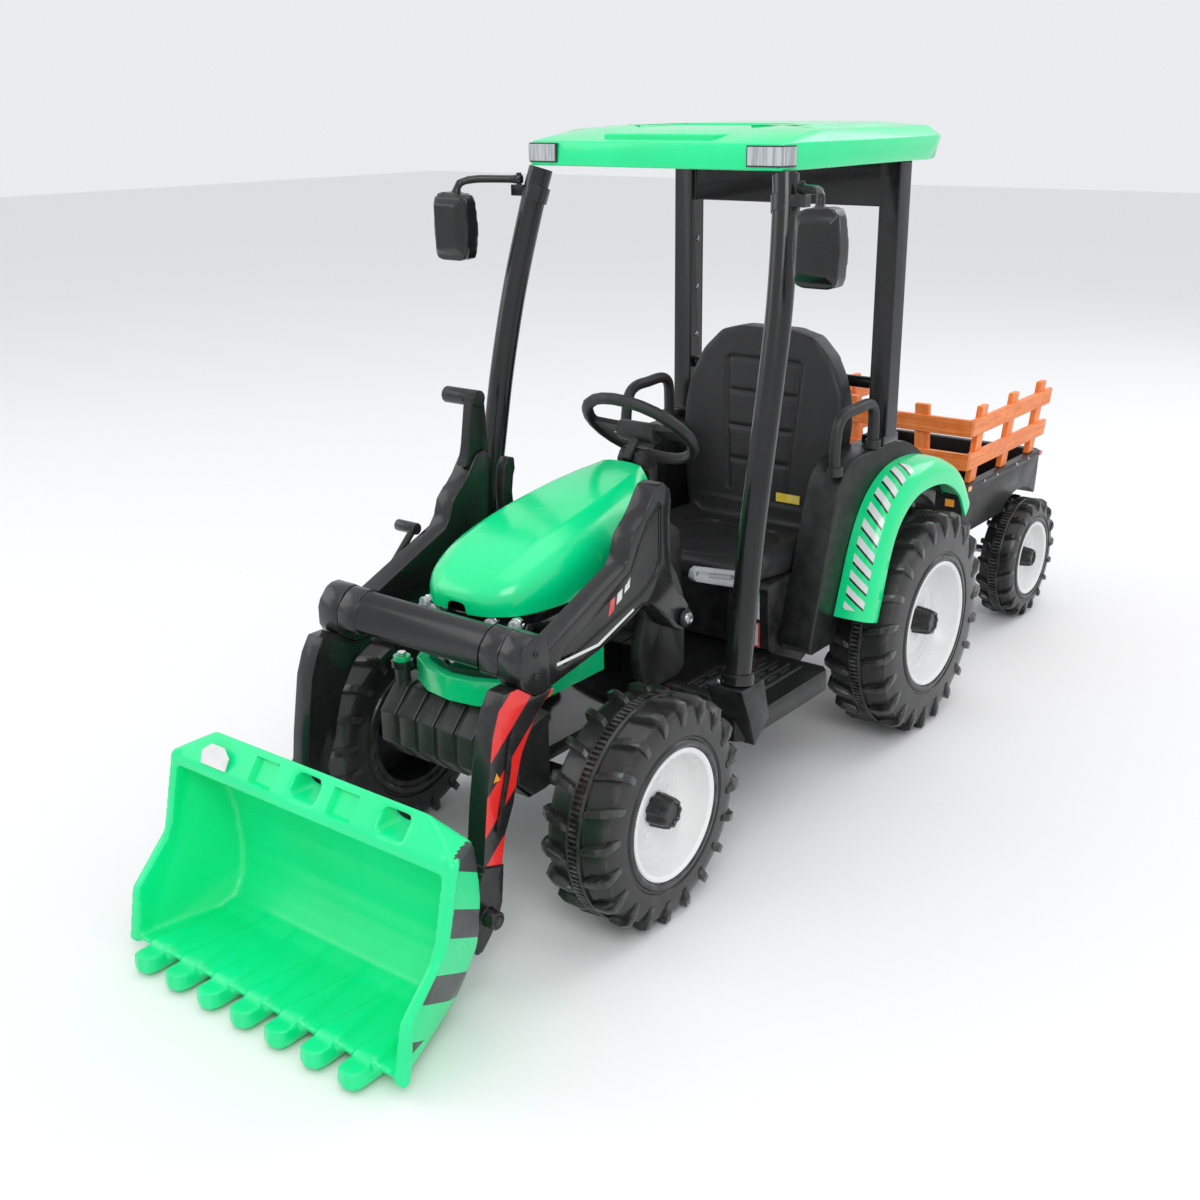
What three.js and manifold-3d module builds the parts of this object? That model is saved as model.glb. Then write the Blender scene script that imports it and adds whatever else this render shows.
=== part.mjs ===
// Ride-on tractor with a hand-worked front loader, a canopy roof and a hitched two-wheel trailer.
// Millimetres. The nose points to -Y, the driver's left hand is +X and up is +Z.
// Heights are above the ground; lengths are first laid out from the front axle and the
// finished group is then shifted so that its origin is under the middle of the whole train.
import * as THREE from 'three';
import { ConvexGeometry } from 'three/addons/geometries/ConvexGeometry.js';
import { mergeVertices } from 'three/addons/utils/BufferGeometryUtils.js';
import Module from 'manifold-3d';

const wasm = await Module();
wasm.setup();

// ---------- driving dimensions ----------
const GAP = 0.3;                 // clearance between touching pieces
const RUN = 0.35;                // radial clearance of a wheel or pin on its shaft

const TRAIN_FRONT = -500;        // bucket tooth tips, from the front axle
const TRAIN_REAR = 1500;         // tail of the trailer's tub and fence, from the front axle
const TRAIN_MIDDLE = 511.8;      // halfway from the tooth tips to the back of the trailer's tyres

const FRONT_WHEEL = { radius: 157, bore: 91, halfWidth: 52, x: 228, y: 0, lugs: 12 };
const REAR_WHEEL = { radius: 190, bore: 108, halfWidth: 57, x: 226, y: 763, lugs: 14 };
const TRAILER_WHEEL = { radius: 126, bore: 77, halfWidth: 37, x: 171, y: 1400, lugs: 10 };
const AXLE_R = 8;

const KINGPIN_X = 145;
const STEER_ARM = 60;            // steering arm length behind the axle
const TIE_ROD_Z = 116;

const ENGINE_HALF = 122;
const CHASSIS_HALF = 75;
const CHASSIS_TOP = 200;
const DECK_TOP = 205;
const DECK_HALF = 250;

const LIFT_PIVOT = { y: 172, z: 352 };
const BOOM_INNER = 139;
const BOOM_OUTER = 171;
const CAP_OUTER = 175;
const CROSS_TUBE = { y: -149, z: 395, half: 27 };
const BUCKET_PIVOT = { y: -247, z: 92 };
const BUCKET_HALF = 246;
const TOOTH_PITCH = 61.1;
const TOOTH_COUNT = 7;

const ROOF_Z = 932;
const WHEEL_CENTRE = { y: 306, z: 568, radius: 84, tilt: 41 * Math.PI / 180 };

const HITCH_Y = 945;
const TUB = { half: 166, front: 1112, floor: 235, rim: 331 };

const GREEN = 0x16d860;
const BLACK = 0x1c1d1e;
const WHITE = 0xf0f0ee;
const ORANGE = 0xf5822a;
const STEEL = 0x9a9ea2;

// ---------- helpers ----------
function solid(geometry) {
  const bare = geometry.index ? geometry.toNonIndexed() : geometry.clone();
  bare.deleteAttribute('normal');
  bare.deleteAttribute('uv');
  const merged = mergeVertices(bare, 1e-4);
  const corners = Array.from(merged.index.array);
  const kept = [];
  for (let i = 0; i < corners.length; i += 3) {
    const [a, b, c] = corners.slice(i, i + 3);
    if (a !== b && b !== c && c !== a) kept.push(a, b, c);
  }
  const mesh = new wasm.Mesh({
    numProp: 3,
    vertProperties: new Float32Array(merged.attributes.position.array),
    triVerts: new Uint32Array(kept),
  });
  return new wasm.Manifold(mesh);
}

function geometryOf(body) {
  const mesh = body.getMesh();
  const geometry = new THREE.BufferGeometry();
  geometry.setAttribute('position', new THREE.BufferAttribute(new Float32Array(mesh.vertProperties), 3));
  geometry.setIndex(Array.from(mesh.triVerts));
  geometry.computeVertexNormals();
  return geometry;
}

function union(bodies) {
  return bodies.reduce((sum, body) => sum.add(body));
}

function box(x0, x1, y0, y1, z0, z1) {
  const geometry = new THREE.BoxGeometry(x1 - x0, y1 - y0, z1 - z0);
  geometry.translate((x0 + x1) / 2, (y0 + y1) / 2, (z0 + z1) / 2);
  return solid(geometry);
}

function hull(points) {
  return solid(new ConvexGeometry(points.map((p) => new THREE.Vector3(...p))));
}

// Rounds the corners of an outline, with a few chords on each corner.
function rounded(points, radius, steps = 1) {
  const shape = new THREE.Shape();
  const count = points.length;
  for (let i = 0; i < count; i += 1) {
    const here = new THREE.Vector2(...points[i]);
    const before = new THREE.Vector2(...points[(i + count - 1) % count]);
    const after = new THREE.Vector2(...points[(i + 1) % count]);
    const reach = Math.min(radius, here.distanceTo(before) * 0.45, here.distanceTo(after) * 0.45);
    const start = here.clone().add(before.sub(here).setLength(reach));
    const end = here.clone().add(after.sub(here).setLength(reach));
    if (i === 0) shape.moveTo(start.x, start.y);
    else shape.lineTo(start.x, start.y);
    for (let k = 1; k <= steps; k += 1) {
      const t = k / steps;
      const a = start.clone().lerp(here, t);
      const b = here.clone().lerp(end, t);
      const p = a.lerp(b, t);
      shape.lineTo(p.x, p.y);
    }
  }
  shape.closePath();
  return shape;
}

function outline(points) {
  return new THREE.Shape(points.map((p) => new THREE.Vector2(...p)));
}

const BASIS = {
  x: new THREE.Matrix4().makeBasis(
    new THREE.Vector3(0, 1, 0), new THREE.Vector3(0, 0, 1), new THREE.Vector3(1, 0, 0)),
  y: new THREE.Matrix4().makeBasis(
    new THREE.Vector3(-1, 0, 0), new THREE.Vector3(0, 0, 1), new THREE.Vector3(0, 1, 0)),
  z: new THREE.Matrix4(),
};

// A shape drawn in (y, z), (-x, z) or (x, y) and extruded along x, y or z between two planes.
function prism(axis, shape, from, to) {
  const geometry = new THREE.ExtrudeGeometry(shape, { depth: to - from, bevelEnabled: false, steps: 1 });
  geometry.applyMatrix4(BASIS[axis]);
  const shift = { x: [from, 0, 0], y: [0, from, 0], z: [0, 0, from] }[axis];
  geometry.translate(...shift);
  return solid(geometry);
}

function rod(a, b, radius, sides = 12, radiusB = radius) {
  const start = new THREE.Vector3(...a);
  const end = new THREE.Vector3(...b);
  const direction = end.clone().sub(start);
  const geometry = new THREE.CylinderGeometry(radiusB, radius, direction.length(), sides);
  const turn = new THREE.Quaternion().setFromUnitVectors(new THREE.Vector3(0, 1, 0), direction.clone().normalize());
  geometry.applyQuaternion(turn);
  geometry.translate(...start.add(end).multiplyScalar(0.5).toArray());
  return solid(geometry);
}

// A round bar bent along a list of points.
function bentRod(points, radius, sides = 10, steps = 24) {
  const path = new THREE.CatmullRomCurve3(points.map((p) => new THREE.Vector3(...p)), false, 'centripetal');
  const section = new THREE.Shape();
  for (let i = 0; i < sides; i += 1) {
    const a = (i / sides) * 2 * Math.PI;
    if (i === 0) section.moveTo(radius, 0);
    else section.lineTo(radius * Math.cos(a), radius * Math.sin(a));
  }
  section.closePath();
  return solid(new THREE.ExtrudeGeometry(section, { steps, extrudePath: path, bevelEnabled: false }));
}

// Skins a row of closed sections that all have the same number of points.
// The flat outline of a section that isn't convex is given too, for its end caps.
function loft(sections, flat = null) {
  const count = sections[0].length;
  const corners = sections.flat();
  const triangles = [];
  for (let i = 0; i + 1 < sections.length; i += 1) {
    for (let k = 0; k < count; k += 1) {
      const a = i * count + k;
      const b = i * count + (k + 1) % count;
      triangles.push([a, b, b + count], [a, b + count, a + count]);
    }
  }
  const last = (sections.length - 1) * count;
  const fan = Array.from({ length: count - 2 }, (_, k) => [0, k + 1, k + 2]);
  const ears = flat ? THREE.ShapeUtils.triangulateShape(flat.map((p) => new THREE.Vector2(...p)), []) : fan;
  const reversed = flat !== null && THREE.ShapeUtils.area(flat.map((p) => new THREE.Vector2(...p))) < 0;
  for (const ear of ears) {
    const [a, b, c] = reversed ? ear.toReversed() : ear;
    triangles.push([a, c, b], [last + a, last + b, last + c]);
  }
  const geometry = new THREE.BufferGeometry();
  geometry.setAttribute('position', new THREE.BufferAttribute(new Float32Array(
    triangles.flatMap((t) => t.flatMap((i) => corners[i]))), 3));
  const body = solid(geometry);
  return body.volume() < 0 ? solid(flipped(geometry)) : body;
}

// Like a loft, but the last section joins the first again.
function ring(sections) {
  const count = sections[0].length;
  const corners = sections.flat();
  const triangles = [];
  for (let i = 0; i < sections.length; i += 1) {
    const next = (i + 1) % sections.length;
    for (let k = 0; k < count; k += 1) {
      const m = (k + 1) % count;
      triangles.push([i * count + k, i * count + m, next * count + m]);
      triangles.push([i * count + k, next * count + m, next * count + k]);
    }
  }
  const geometry = new THREE.BufferGeometry();
  geometry.setAttribute('position', new THREE.BufferAttribute(new Float32Array(
    triangles.flatMap((t) => t.flatMap((i) => corners[i]))), 3));
  const body = solid(geometry);
  return body.volume() < 0 ? solid(flipped(geometry)) : body;
}

// A closed profile of [radius, across] points turned about an axis parallel to X.
function turned(profile, segments, x, y, z) {
  const loop = profile.map((p) => new THREE.Vector2(...p));
  if (profile[0][0] > 0) loop.push(loop[0].clone());
  const geometry = new THREE.LatheGeometry(loop, segments);
  geometry.rotateZ(-Math.PI / 2);
  geometry.translate(x, y, z);
  const body = solid(geometry);
  return body.volume() < 0 ? solid(flipped(geometry)) : body;
}

function flipped(geometry) {
  const bare = geometry.index ? geometry.toNonIndexed() : geometry;
  const p = bare.attributes.position.array;
  for (let i = 0; i < p.length; i += 9) {
    for (let k = 0; k < 3; k += 1) {
      const keep = p[i + 3 + k];
      p[i + 3 + k] = p[i + 6 + k];
      p[i + 6 + k] = keep;
    }
  }
  return bare;
}

function mirrored(body) {
  return body.mirror([1, 0, 0]);
}

// ---------- the assembled group ----------
const tractor = new THREE.Group();
tractor.position.y = -TRAIN_MIDDLE;

function place(name, body, color, roughness = 0.45, metalness = 0) {
  const material = new THREE.MeshStandardMaterial({ color, roughness, metalness });
  const mesh = new THREE.Mesh(geometryOf(body), material);
  mesh.name = name;
  tractor.add(mesh);
}

function placePair(name, body, color, roughness, metalness) {
  place(`${name}_left`, body, color, roughness, metalness);
  place(`${name}_right`, mirrored(body), color, roughness, metalness);
}

// ---------- wheels ----------
// A hollow turned section whose tread points step between lug and groove round the wheel.
function tyre(wheel) {
  const w = wheel.halfWidth;
  const r = wheel.radius;
  const well = r - 32;
  const section = (tread) => [[wheel.bore, -w], [r * 0.87, -w], [tread, -w * 0.78], [tread, w * 0.78], [r * 0.87, w],
    [wheel.bore, w], [wheel.bore, w - 14], [well, w - 20], [well, 20 - w], [wheel.bore, 14 - w]];
  const pitch = 2 * Math.PI / wheel.lugs;
  const rows = [];
  for (let i = 0; i < wheel.lugs; i += 1) {
    const a = -Math.PI / 2 + i * pitch;
    for (const [turn, tread] of [[-0.27, r - 13], [-0.19, r], [0.19, r], [0.27, r - 13]]) {
      const angle = a + turn * pitch;
      rows.push(section(tread).map(([radius, across]) => [across, radius * Math.cos(angle), radius * Math.sin(angle)]));
    }
  }
  return ring(rows);
}

// Dished rim with a deep hub; the outer face is towards +X.
function rim(wheel) {
  const w = wheel.halfWidth;
  const r = wheel.bore - 1.2;
  const bore = AXLE_R + RUN;
  return turned([
    [bore, -w * 0.55], [24, -w * 0.55], [26, 0], [r - 9, -w * 0.05], [r, 3 - w],
    [r, w - 2], [r - 8, w - 2], [r - 14, w * 0.25], [28, w * 0.2], [28, w * 0.62], [bore, w * 0.62],
  ], 16, 0, 0, 0);
}

// Lifts an axle so that the flats of its lugs just meet the ground.
function axleHeight(wheel) {
  return wheel.radius * Math.cos(0.19 * 2 * Math.PI / wheel.lugs);
}

function placeWheels(name, wheel) {
  const shape = { tyre: tyre(wheel), rim: rim(wheel) };
  const z = axleHeight(wheel);
  for (const [side, sign] of [['left', 1], ['right', -1]]) {
    for (const [piece, body] of Object.entries(shape)) {
      const turnedBody = sign > 0 ? body : mirrored(body);
      const color = piece === 'tyre' ? BLACK : WHITE;
      place(`${name}_${piece}_${side}`, turnedBody.translate([sign * wheel.x, wheel.y, z]), color, 0.6);
    }
  }
}

placeWheels('front', FRONT_WHEEL);
placeWheels('rear', REAR_WHEEL);
placeWheels('trailer', TRAILER_WHEEL);

const FRONT_Z = axleHeight(FRONT_WHEEL);
const REAR_Z = axleHeight(REAR_WHEEL);
const TRAILER_Z = axleHeight(TRAILER_WHEEL);

// ---------- chassis and running gear ----------
function chassisShell() {
  const side = [[-30, 178], [118, 178], [165, 100], [690, 100], [722, 128], [880, 128], [880, CHASSIS_TOP],
    [-30, CHASSIS_TOP]];
  const shell = prism('x', rounded(side, 10), -CHASSIS_HALF, CHASSIS_HALF);
  const hollow = box(-CHASSIS_HALF + 5, CHASSIS_HALF - 5, 210, 690, 106, CHASSIS_TOP + 1);
  const axleSlot = box(-100, 100, REAR_WHEEL.y - 11, REAR_WHEEL.y + 11, REAR_Z - 11, CHASSIS_TOP + 1);
  return shell.subtract(hollow).subtract(axleSlot);
}

function frontAxleBeam() {
  const beam = box(-KINGPIN_X, KINGPIN_X, -13, 13, FRONT_Z - 10, FRONT_Z + 10);
  const ends = [-1, 1].map((s) => rod([s * KINGPIN_X, 0, FRONT_Z - 10], [s * KINGPIN_X, 0, FRONT_Z + 10], 13, 14));
  const pad = box(-40, 40, -20, 20, FRONT_Z + 9, 177.6);
  const pins = [-1, 1].map((s) => rod([s * KINGPIN_X, 0, FRONT_Z - 26], [s * KINGPIN_X, 0, FRONT_Z + 26], 6, 12));
  return union([beam, pad, ...ends, ...pins]);
}

// Fork round the axle beam with a kingpin hole, a stub axle and a steering arm to the rear.
function knuckle() {
  const x = KINGPIN_X;
  const cheeks = [[FRONT_Z - 22, FRONT_Z - 10.6], [FRONT_Z + 10.6, FRONT_Z + 22]];
  const plates = cheeks.map(([z0, z1]) => box(x - 12, x + 24, -12, 12, z0, z1));
  const web = box(x + 14.8, x + 24, -12, 12, FRONT_Z - 22, FRONT_Z + 22);
  const stub = rod([x + 22, 0, FRONT_Z], [FRONT_WHEEL.x + 34, 0, FRONT_Z], AXLE_R, 16);
  const nut = rod([FRONT_WHEEL.x + 33, 0, FRONT_Z], [FRONT_WHEEL.x + 42, 0, FRONT_Z], 13, 6);
  const arm = prism('z', rounded([[x - 8, -2], [x + 8, -2], [x + 8, STEER_ARM + 8], [x - 8, STEER_ARM + 8]], 7),
    FRONT_Z - 32, FRONT_Z - 21.9);
  const ball = rod([x, STEER_ARM, TIE_ROD_Z - 7], [x, STEER_ARM, FRONT_Z - 31], 4, 12);
  const hole = rod([x, 0, FRONT_Z - 40], [x, 0, FRONT_Z + 40], 6 + RUN, 12);
  return union([...plates, web, stub, nut, arm, ball]).subtract(hole);
}

// The right end is an open eye, where the closed linkage is let go.
function tieRod() {
  const bar = box(-KINGPIN_X - 10, KINGPIN_X + 10, STEER_ARM - 5, STEER_ARM + 5, TIE_ROD_Z - 5, TIE_ROD_Z + 5);
  const snug = rod([KINGPIN_X, STEER_ARM, 90], [KINGPIN_X, STEER_ARM, 140], 4 + RUN, 12);
  const open = rod([-KINGPIN_X, STEER_ARM, 90], [-KINGPIN_X, STEER_ARM, 140], 7.5, 12);
  const eyes = [-1, 1].map((s) => rod(
    [s * KINGPIN_X, STEER_ARM, TIE_ROD_Z - 5], [s * KINGPIN_X, STEER_ARM, TIE_ROD_Z + 5], 12, 12));
  return union([bar, ...eyes]).subtract(snug).subtract(open);
}

function rearAxle() {
  const reach = REAR_WHEEL.x + 38;
  const shaft = rod([-reach, REAR_WHEEL.y, REAR_Z], [reach, REAR_WHEEL.y, REAR_Z], AXLE_R, 16);
  const nuts = [-1, 1].map((s) => rod(
    [s * (reach - 1), REAR_WHEEL.y, REAR_Z], [s * (reach + 9), REAR_WHEEL.y, REAR_Z], 13, 6));
  return union([shaft, ...nuts]);
}

// Drive motor and reduction housing beside each rear wheel, clear round the axle.
function gearbox() {
  const side = [[700, 150], [800, 150], [812, 170], [812, 199], [690, 199], [690, 165]];
  const housing = prism('x', rounded(side, 8), CHASSIS_HALF + GAP, 112);
  const motor = rod([CHASSIS_HALF + 8, 722, 174], [148, 722, 174], 21, 18);
  const bore = rod([60, REAR_WHEEL.y, REAR_Z], [160, REAR_WHEEL.y, REAR_Z], AXLE_R + RUN, 20);
  return union([housing, motor]).subtract(bore).intersect(box(70, 149, 600, 900, 100, 199.7));
}

// The plate hooks onto the tail of the chassis and carries a hole for the trailer's pin.
function towHitch() {
  const tongue = prism('z', rounded([[-32, 880 + GAP], [32, 880 + GAP], [20, HITCH_Y + 20], [-20, HITCH_Y + 20]], 14, 3),
    150, 160);
  const flange = box(-46, 46, 880 + GAP, 888, 132, 196);
  const hole = rod([0, HITCH_Y, 140], [0, HITCH_Y, 170], 7.5, 16);
  return tongue.add(flange).subtract(hole);
}

place('chassis_shell', chassisShell(), BLACK);
place('front_axle_beam', frontAxleBeam(), STEEL, 0.4, 0.7);
placePair('knuckle', knuckle(), STEEL, 0.4, 0.7);
place('tie_rod', tieRod(), STEEL, 0.4, 0.7);
place('rear_axle', rearAxle(), STEEL, 0.4, 0.7);
placePair('gearbox', gearbox(), 0x2a2b2d);
place('tow_hitch', towHitch(), BLACK);

// ---------- nose and hood ----------
function noseOutline(halfWidth, tip, back, shoulder = 62) {
  const half = [[halfWidth, back], [halfWidth, tip + shoulder], [halfWidth * 0.8, tip + shoulder * 0.42],
    [halfWidth * 0.42, tip + 6]];
  return [...half.map(([x, y]) => [-x, y]), [0, tip], ...half.reverse()];
}

function frontBody() {
  const tower = box(-78, 78, -58, 199, CHASSIS_TOP + GAP, 374);
  const shelf = prism('z', outline(noseOutline(90, -92, 199)), 372, 403);
  const hollow = box(-72, 72, -52, 193, CHASSIS_TOP - 1, 398);
  return tower.add(shelf).subtract(hollow);
}

function grillePanel() {
  return prism('z', outline(noseOutline(76, -108, -58 - GAP, 44)), 322, 372 - GAP);
}

function noseBand() {
  const band = prism('z', outline(noseOutline(100, -120, 85)), 287, 322 - GAP);
  const cheeks = [-1, 1].map((s) => prism('x', outline([[-20, 287], [85, 287], [85, 345], [-20, 321.7]]),
    s > 0 ? 80 : -100, s > 0 ? 100 : -80));
  const core = box(-78 - GAP, 78 + GAP, -58 - GAP, 100, 280, 350);
  return union([band, ...cheeks]).subtract(core);
}

const HOOD_STATIONS = [
  { y: -97, half: 20, top: 421 }, { y: -90, half: 48, top: 434 }, { y: -62, half: 78, top: 454 },
  { y: -12, half: 93, top: 477 }, { y: 60, half: 98, top: 496 }, { y: 140, half: 93, top: 511 },
  { y: 210, half: 78, top: 522 }, { y: 262, half: 56, top: 530 },
];
const HOOD_LIP = 403 + GAP;

function hoodSkin(inset, lip) {
  const points = [];
  for (const { y, half, top } of HOOD_STATIONS) {
    const w = half - inset;
    const crown = top - inset;
    const yy = THREE.MathUtils.clamp(y, -97 + inset, 262 - inset);
    const bulge = (crown - HOOD_LIP) * 0.62 + HOOD_LIP;
    points.push([w, yy, lip], [-w, yy, lip], [w * 0.97, yy, HOOD_LIP + 8], [-w * 0.97, yy, HOOD_LIP + 8]);
    points.push([w * 0.82, yy, bulge], [-w * 0.82, yy, bulge], [w * 0.45, yy, crown - 4], [-w * 0.45, yy, crown - 4]);
    points.push([0, yy, crown]);
  }
  return hull(points);
}

function hood() {
  return hoodSkin(0, HOOD_LIP).subtract(hoodSkin(5, HOOD_LIP - 6));
}

// Seven cooling ribs wrapped round a hexagonal crankcase, an oil cap and a side boss.
function engineBlock() {
  const hexagon = (grow) => outline([[-98 - grow, 172 - grow], [-60, 172 - grow], [-59, 283], [-98 - grow, 278 + grow],
    [-128 - grow, 246 + grow / 2], [-128 - grow, 202 - grow / 2]]);
  const parts = [prism('x', hexagon(-5), 2 - ENGINE_HALF, ENGINE_HALF - 2)];
  const pitch = 2 * ENGINE_HALF / 7;
  for (let i = 0; i < 7; i += 1) {
    const x = i * pitch - ENGINE_HALF;
    parts.push(prism('x', hexagon(0), x + 1, x + pitch - 6));
  }
  parts.push(rod([-110, -92, 262], [-110, -92, 314], 11, 12));
  parts.push(rod([-110, -92, 222], [-ENGINE_HALF - 14, -92, 222], 20, 14));
  return union(parts);
}

place('front_body', frontBody(), BLACK);
place('grille_panel', grillePanel(), 0x0c0d0d, 0.15);
place('nose_band', noseBand(), GREEN, 0.3);
place('hood', hood(), GREEN, 0.25);
place('engine_block', engineBlock(), 0x33363a, 0.55);

// ---------- deck, seat and body sides ----------
function floorDeck() {
  const plate = prism('z', rounded([[-DECK_HALF, 200], [DECK_HALF, 200], [DECK_HALF + 2, 452], [-DECK_HALF - 2, 452]], 12),
    172, DECK_TOP);
  const parts = [plate];
  for (const s of [-1, 1]) {
    const block = prism('x', outline([[176, 262], [235, 262], [252, 200], [215, 168], [198, 215]]),
      s > 0 ? 206 : -264, s > 0 ? 264 : -206);
    parts.push(block);
    parts.push(prism('x', outline([[182, 240], [205, 240], [205, 190], [196, 190]]), s > 0 ? 80 : -207, s > 0 ? 207 : -80));
    for (let i = 0; i < 6; i += 1) {
      const x = s * (112 + i * 20);
      parts.push(box(x - 3, x + 3, 262, 430, DECK_TOP - 1, DECK_TOP + 2));
    }
  }
  const tunnel = box(-CHASSIS_HALF - GAP, CHASSIS_HALF + GAP, 150, 460, 90, CHASSIS_TOP + GAP);
  const bracket = prism('x', rounded([[372, DECK_TOP - 1], [410, DECK_TOP - 1], [402, 352], [384, 352]], 8), 112, 122);
  const pin = rod([120, 393, 338], [138, 393, 338], 5, 12);
  const lugs = [[-152, -144.5], [-91.5, -84]].map(([x0, x1]) => box(x0, x1, 300, 318, DECK_TOP - 1, 226));
  const pedalHole = rod([-160, 309, 216], [-80, 309, 216], 5 + RUN, 12);
  return union([...parts, bracket, pin, ...lugs]).subtract(tunnel).subtract(pedalHole);
}

// Seat pedestal and the hull behind it; the battery stands inside.
function seatBox() {
  const side = [[440, DECK_TOP + GAP], [880, DECK_TOP + GAP], [892, 300], [880, 400], [800, 436], [706, 436],
    [690, 321], [432, 321]];
  const outer = prism('x', rounded(side, 8), -150 + GAP, 150 - GAP);
  const room = prism('x', outline([[446, DECK_TOP - 1], [872, DECK_TOP - 1], [884, 300], [874, 394], [800, 430],
    [714, 430], [696, 315], [438, 315]]), -144, 144);
  return outer.subtract(room);
}

function battery() {
  const block = box(-62, 62, 470, 560, CHASSIS_TOP + 0.4, 268);
  const floor = box(-CHASSIS_HALF, CHASSIS_HALF, 455, 600, CHASSIS_TOP + GAP, CHASSIS_TOP + 4);
  const poles = [-1, 1].map((s) => rod([s * 40, 488, 266], [s * 40, 488, 276], 6, 12));
  return union([block, floor, ...poles]);
}

function sidePanel() {
  const side = [[464, DECK_TOP + GAP], [490, 290], [522, 400], [545, 468], [563, 486], [600, 497], [745, 497],
    [800, 478], [868, 436], [900, 400], [900, 300], [872, DECK_TOP + GAP]];
  const panel = prism('x', rounded(side, 14), 150, 205);
  const arch = rod([168.3, REAR_WHEEL.y, REAR_Z], [230, REAR_WHEEL.y, REAR_Z], 211, 48);
  const hollow = prism('x', outline([[520, 230], [560, 330], [600, 440], [640, 470], [740, 470], [800, 450],
    [860, 410], [884, 380], [884, 300], [860, 230]]), 149, 163);
  return panel.subtract(arch).subtract(hollow);
}

// A strip bent over the rear wheel: a crowned top and a lip that turns down outside.
function fender() {
  const path = new THREE.CatmullRomCurve3([
    [0, 541, 252], [0, 558, 300], [0, 586, 372], [0, 622, 424], [0, 680, 459], [0, 750, 468], [0, 824, 458],
    [0, 888, 424], [0, 930, 372],
  ].map((p) => new THREE.Vector3(...p)));
  const centre = new THREE.Vector3(0, REAR_WHEEL.y, REAR_Z);
  const section = [[205 + GAP, 0], [205 + GAP, -5], [238, -5], [252, -2], [262, 12], [262, 34], [257, 34], [256.5, 14],
    [249, 4], [236, 0]];
  return loft(path.getSpacedPoints(10).map((p) => {
    const inwards = centre.clone().sub(p).normalize();
    return section.map(([x, drop]) => [x, p.y + inwards.y * (drop + 5), p.z + inwards.z * (drop + 5)]);
  }), section);
}

function seat() {
  const pan = prism('z', rounded([[-142, 640], [-146, 470], [-116, 398], [116, 398], [146, 470], [142, 640]], 46, 2),
    322, 352);
  const bolsters = [-1, 1].map((s) => prism('y', rounded([[s * 100, 340], [s * 112, 366], [s * 138, 364],
    [s * 144, 340]], 8), 440, 628));
  const front = rounded([[-134, 321 + GAP], [-150, 470], [-150, 580], [-92, 672], [92, 672], [150, 580], [150, 470],
    [134, 321 + GAP]], 44, 2);
  const slab = prism('y', front, 600, 704);
  const lean = prism('x', outline([[634, 320], [640, 500], [655, 680], [700, 680], [684, 500], [674, 320]]), -160, 160);
  return union([pan, ...bolsters, slab.intersect(lean)]);
}

place('floor_deck', floorDeck(), BLACK, 0.6);
place('seat_box', seatBox(), BLACK);
place('battery', battery(), 0x2b2f36);
placePair('side_panel', sidePanel(), BLACK);
placePair('fender', fender(), GREEN, 0.3);
place('seat', seat(), 0x202122, 0.7);

// ---------- cab ----------
const POST_LINE = [[241, 201, 256], [239, 216, 350], [236, 234, 450], [235, 250, 530], [234, 273, 640],
  [229, 302, 760], [216, 332, 880], [206, 346, 938]];

// Bowed tube with a flange at the deck, a roof cup and the mirror's clamp with its swivel pin.
function frontPost() {
  const post = bentRod(POST_LINE, 18, 12, 8);
  const flange = rod([241, 202, 262], [240, 204, 272], 24, 12, 21);
  const clamp = rod([215, 333, 880], [211, 339, 902], 22, 12);
  const lug = box(226, 250, 322, 338, 888, 904);
  const pin = rod([240, 330, 902], [240, 330, 921], 4, 10);
  const slice = box(100, 300, 100, 500, 262 + GAP, ROOF_Z - GAP);
  return union([post, flange, clamp, lug, pin]).intersect(slice);
}

function rearCabFrame() {
  const parts = [];
  for (const s of [-1, 1]) {
    const corner = (x, y, z) => [s * x, y, z];
    const head = [[171, 688], [205, 688], [205, 726], [171, 726]];
    const foot = head.map(([x, y]) => corner(x, y + 3, 500));
    const post = [...head.map(([x, y]) => corner(x, y, ROOF_Z - GAP)), ...foot];
    parts.push(hull(post));
    parts.push(box(s > 0 ? 165 : -205, s > 0 ? 205 : -165, 684, 736, 497 + GAP, 512));
  }
  parts.push(box(-180, 180, 698, 716, 864, ROOF_Z - GAP));
  parts.push(rod([-180, 715, 590], [180, 715, 590], 9.5, 14));
  return union(parts);
}

const ROOF_RING = [
  { z: ROOF_Z, points: [[120, 322], [212, 324], [218, 364], [218, 740], [206, 800], [150, 812]] },
  { z: 966, points: [[118, 324], [210, 326], [217, 366], [218, 780], [204, 824], [150, 834]] },
  { z: 981, points: [[150, 400], [200, 420], [200, 780], [150, 800]] },
  { z: 987, points: [[60, 470], [120, 470], [120, 770], [60, 780]] },
];

function roofSkin(inset) {
  const points = [];
  for (const { z, points: ring } of ROOF_RING) {
    for (const [x, y] of ring) {
      const xx = x - inset;
      const yy = THREE.MathUtils.clamp(y, 322 + inset * 1.2, 834 - inset * 1.2);
      const zz = z === ROOF_Z && inset > 0 ? z - 6 : z - inset;
      points.push([xx, yy, zz], [-xx, yy, zz]);
    }
  }
  return hull(points);
}

function roof() {
  const dish = prism('z', rounded([[-96, 420], [96, 420], [112, 560], [-112, 560]], 18), 982, 1000);
  return roofSkin(0).subtract(roofSkin(5)).subtract(dish.subtract(box(-200, 200, 400, 600, 960, 984)));
}

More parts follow.
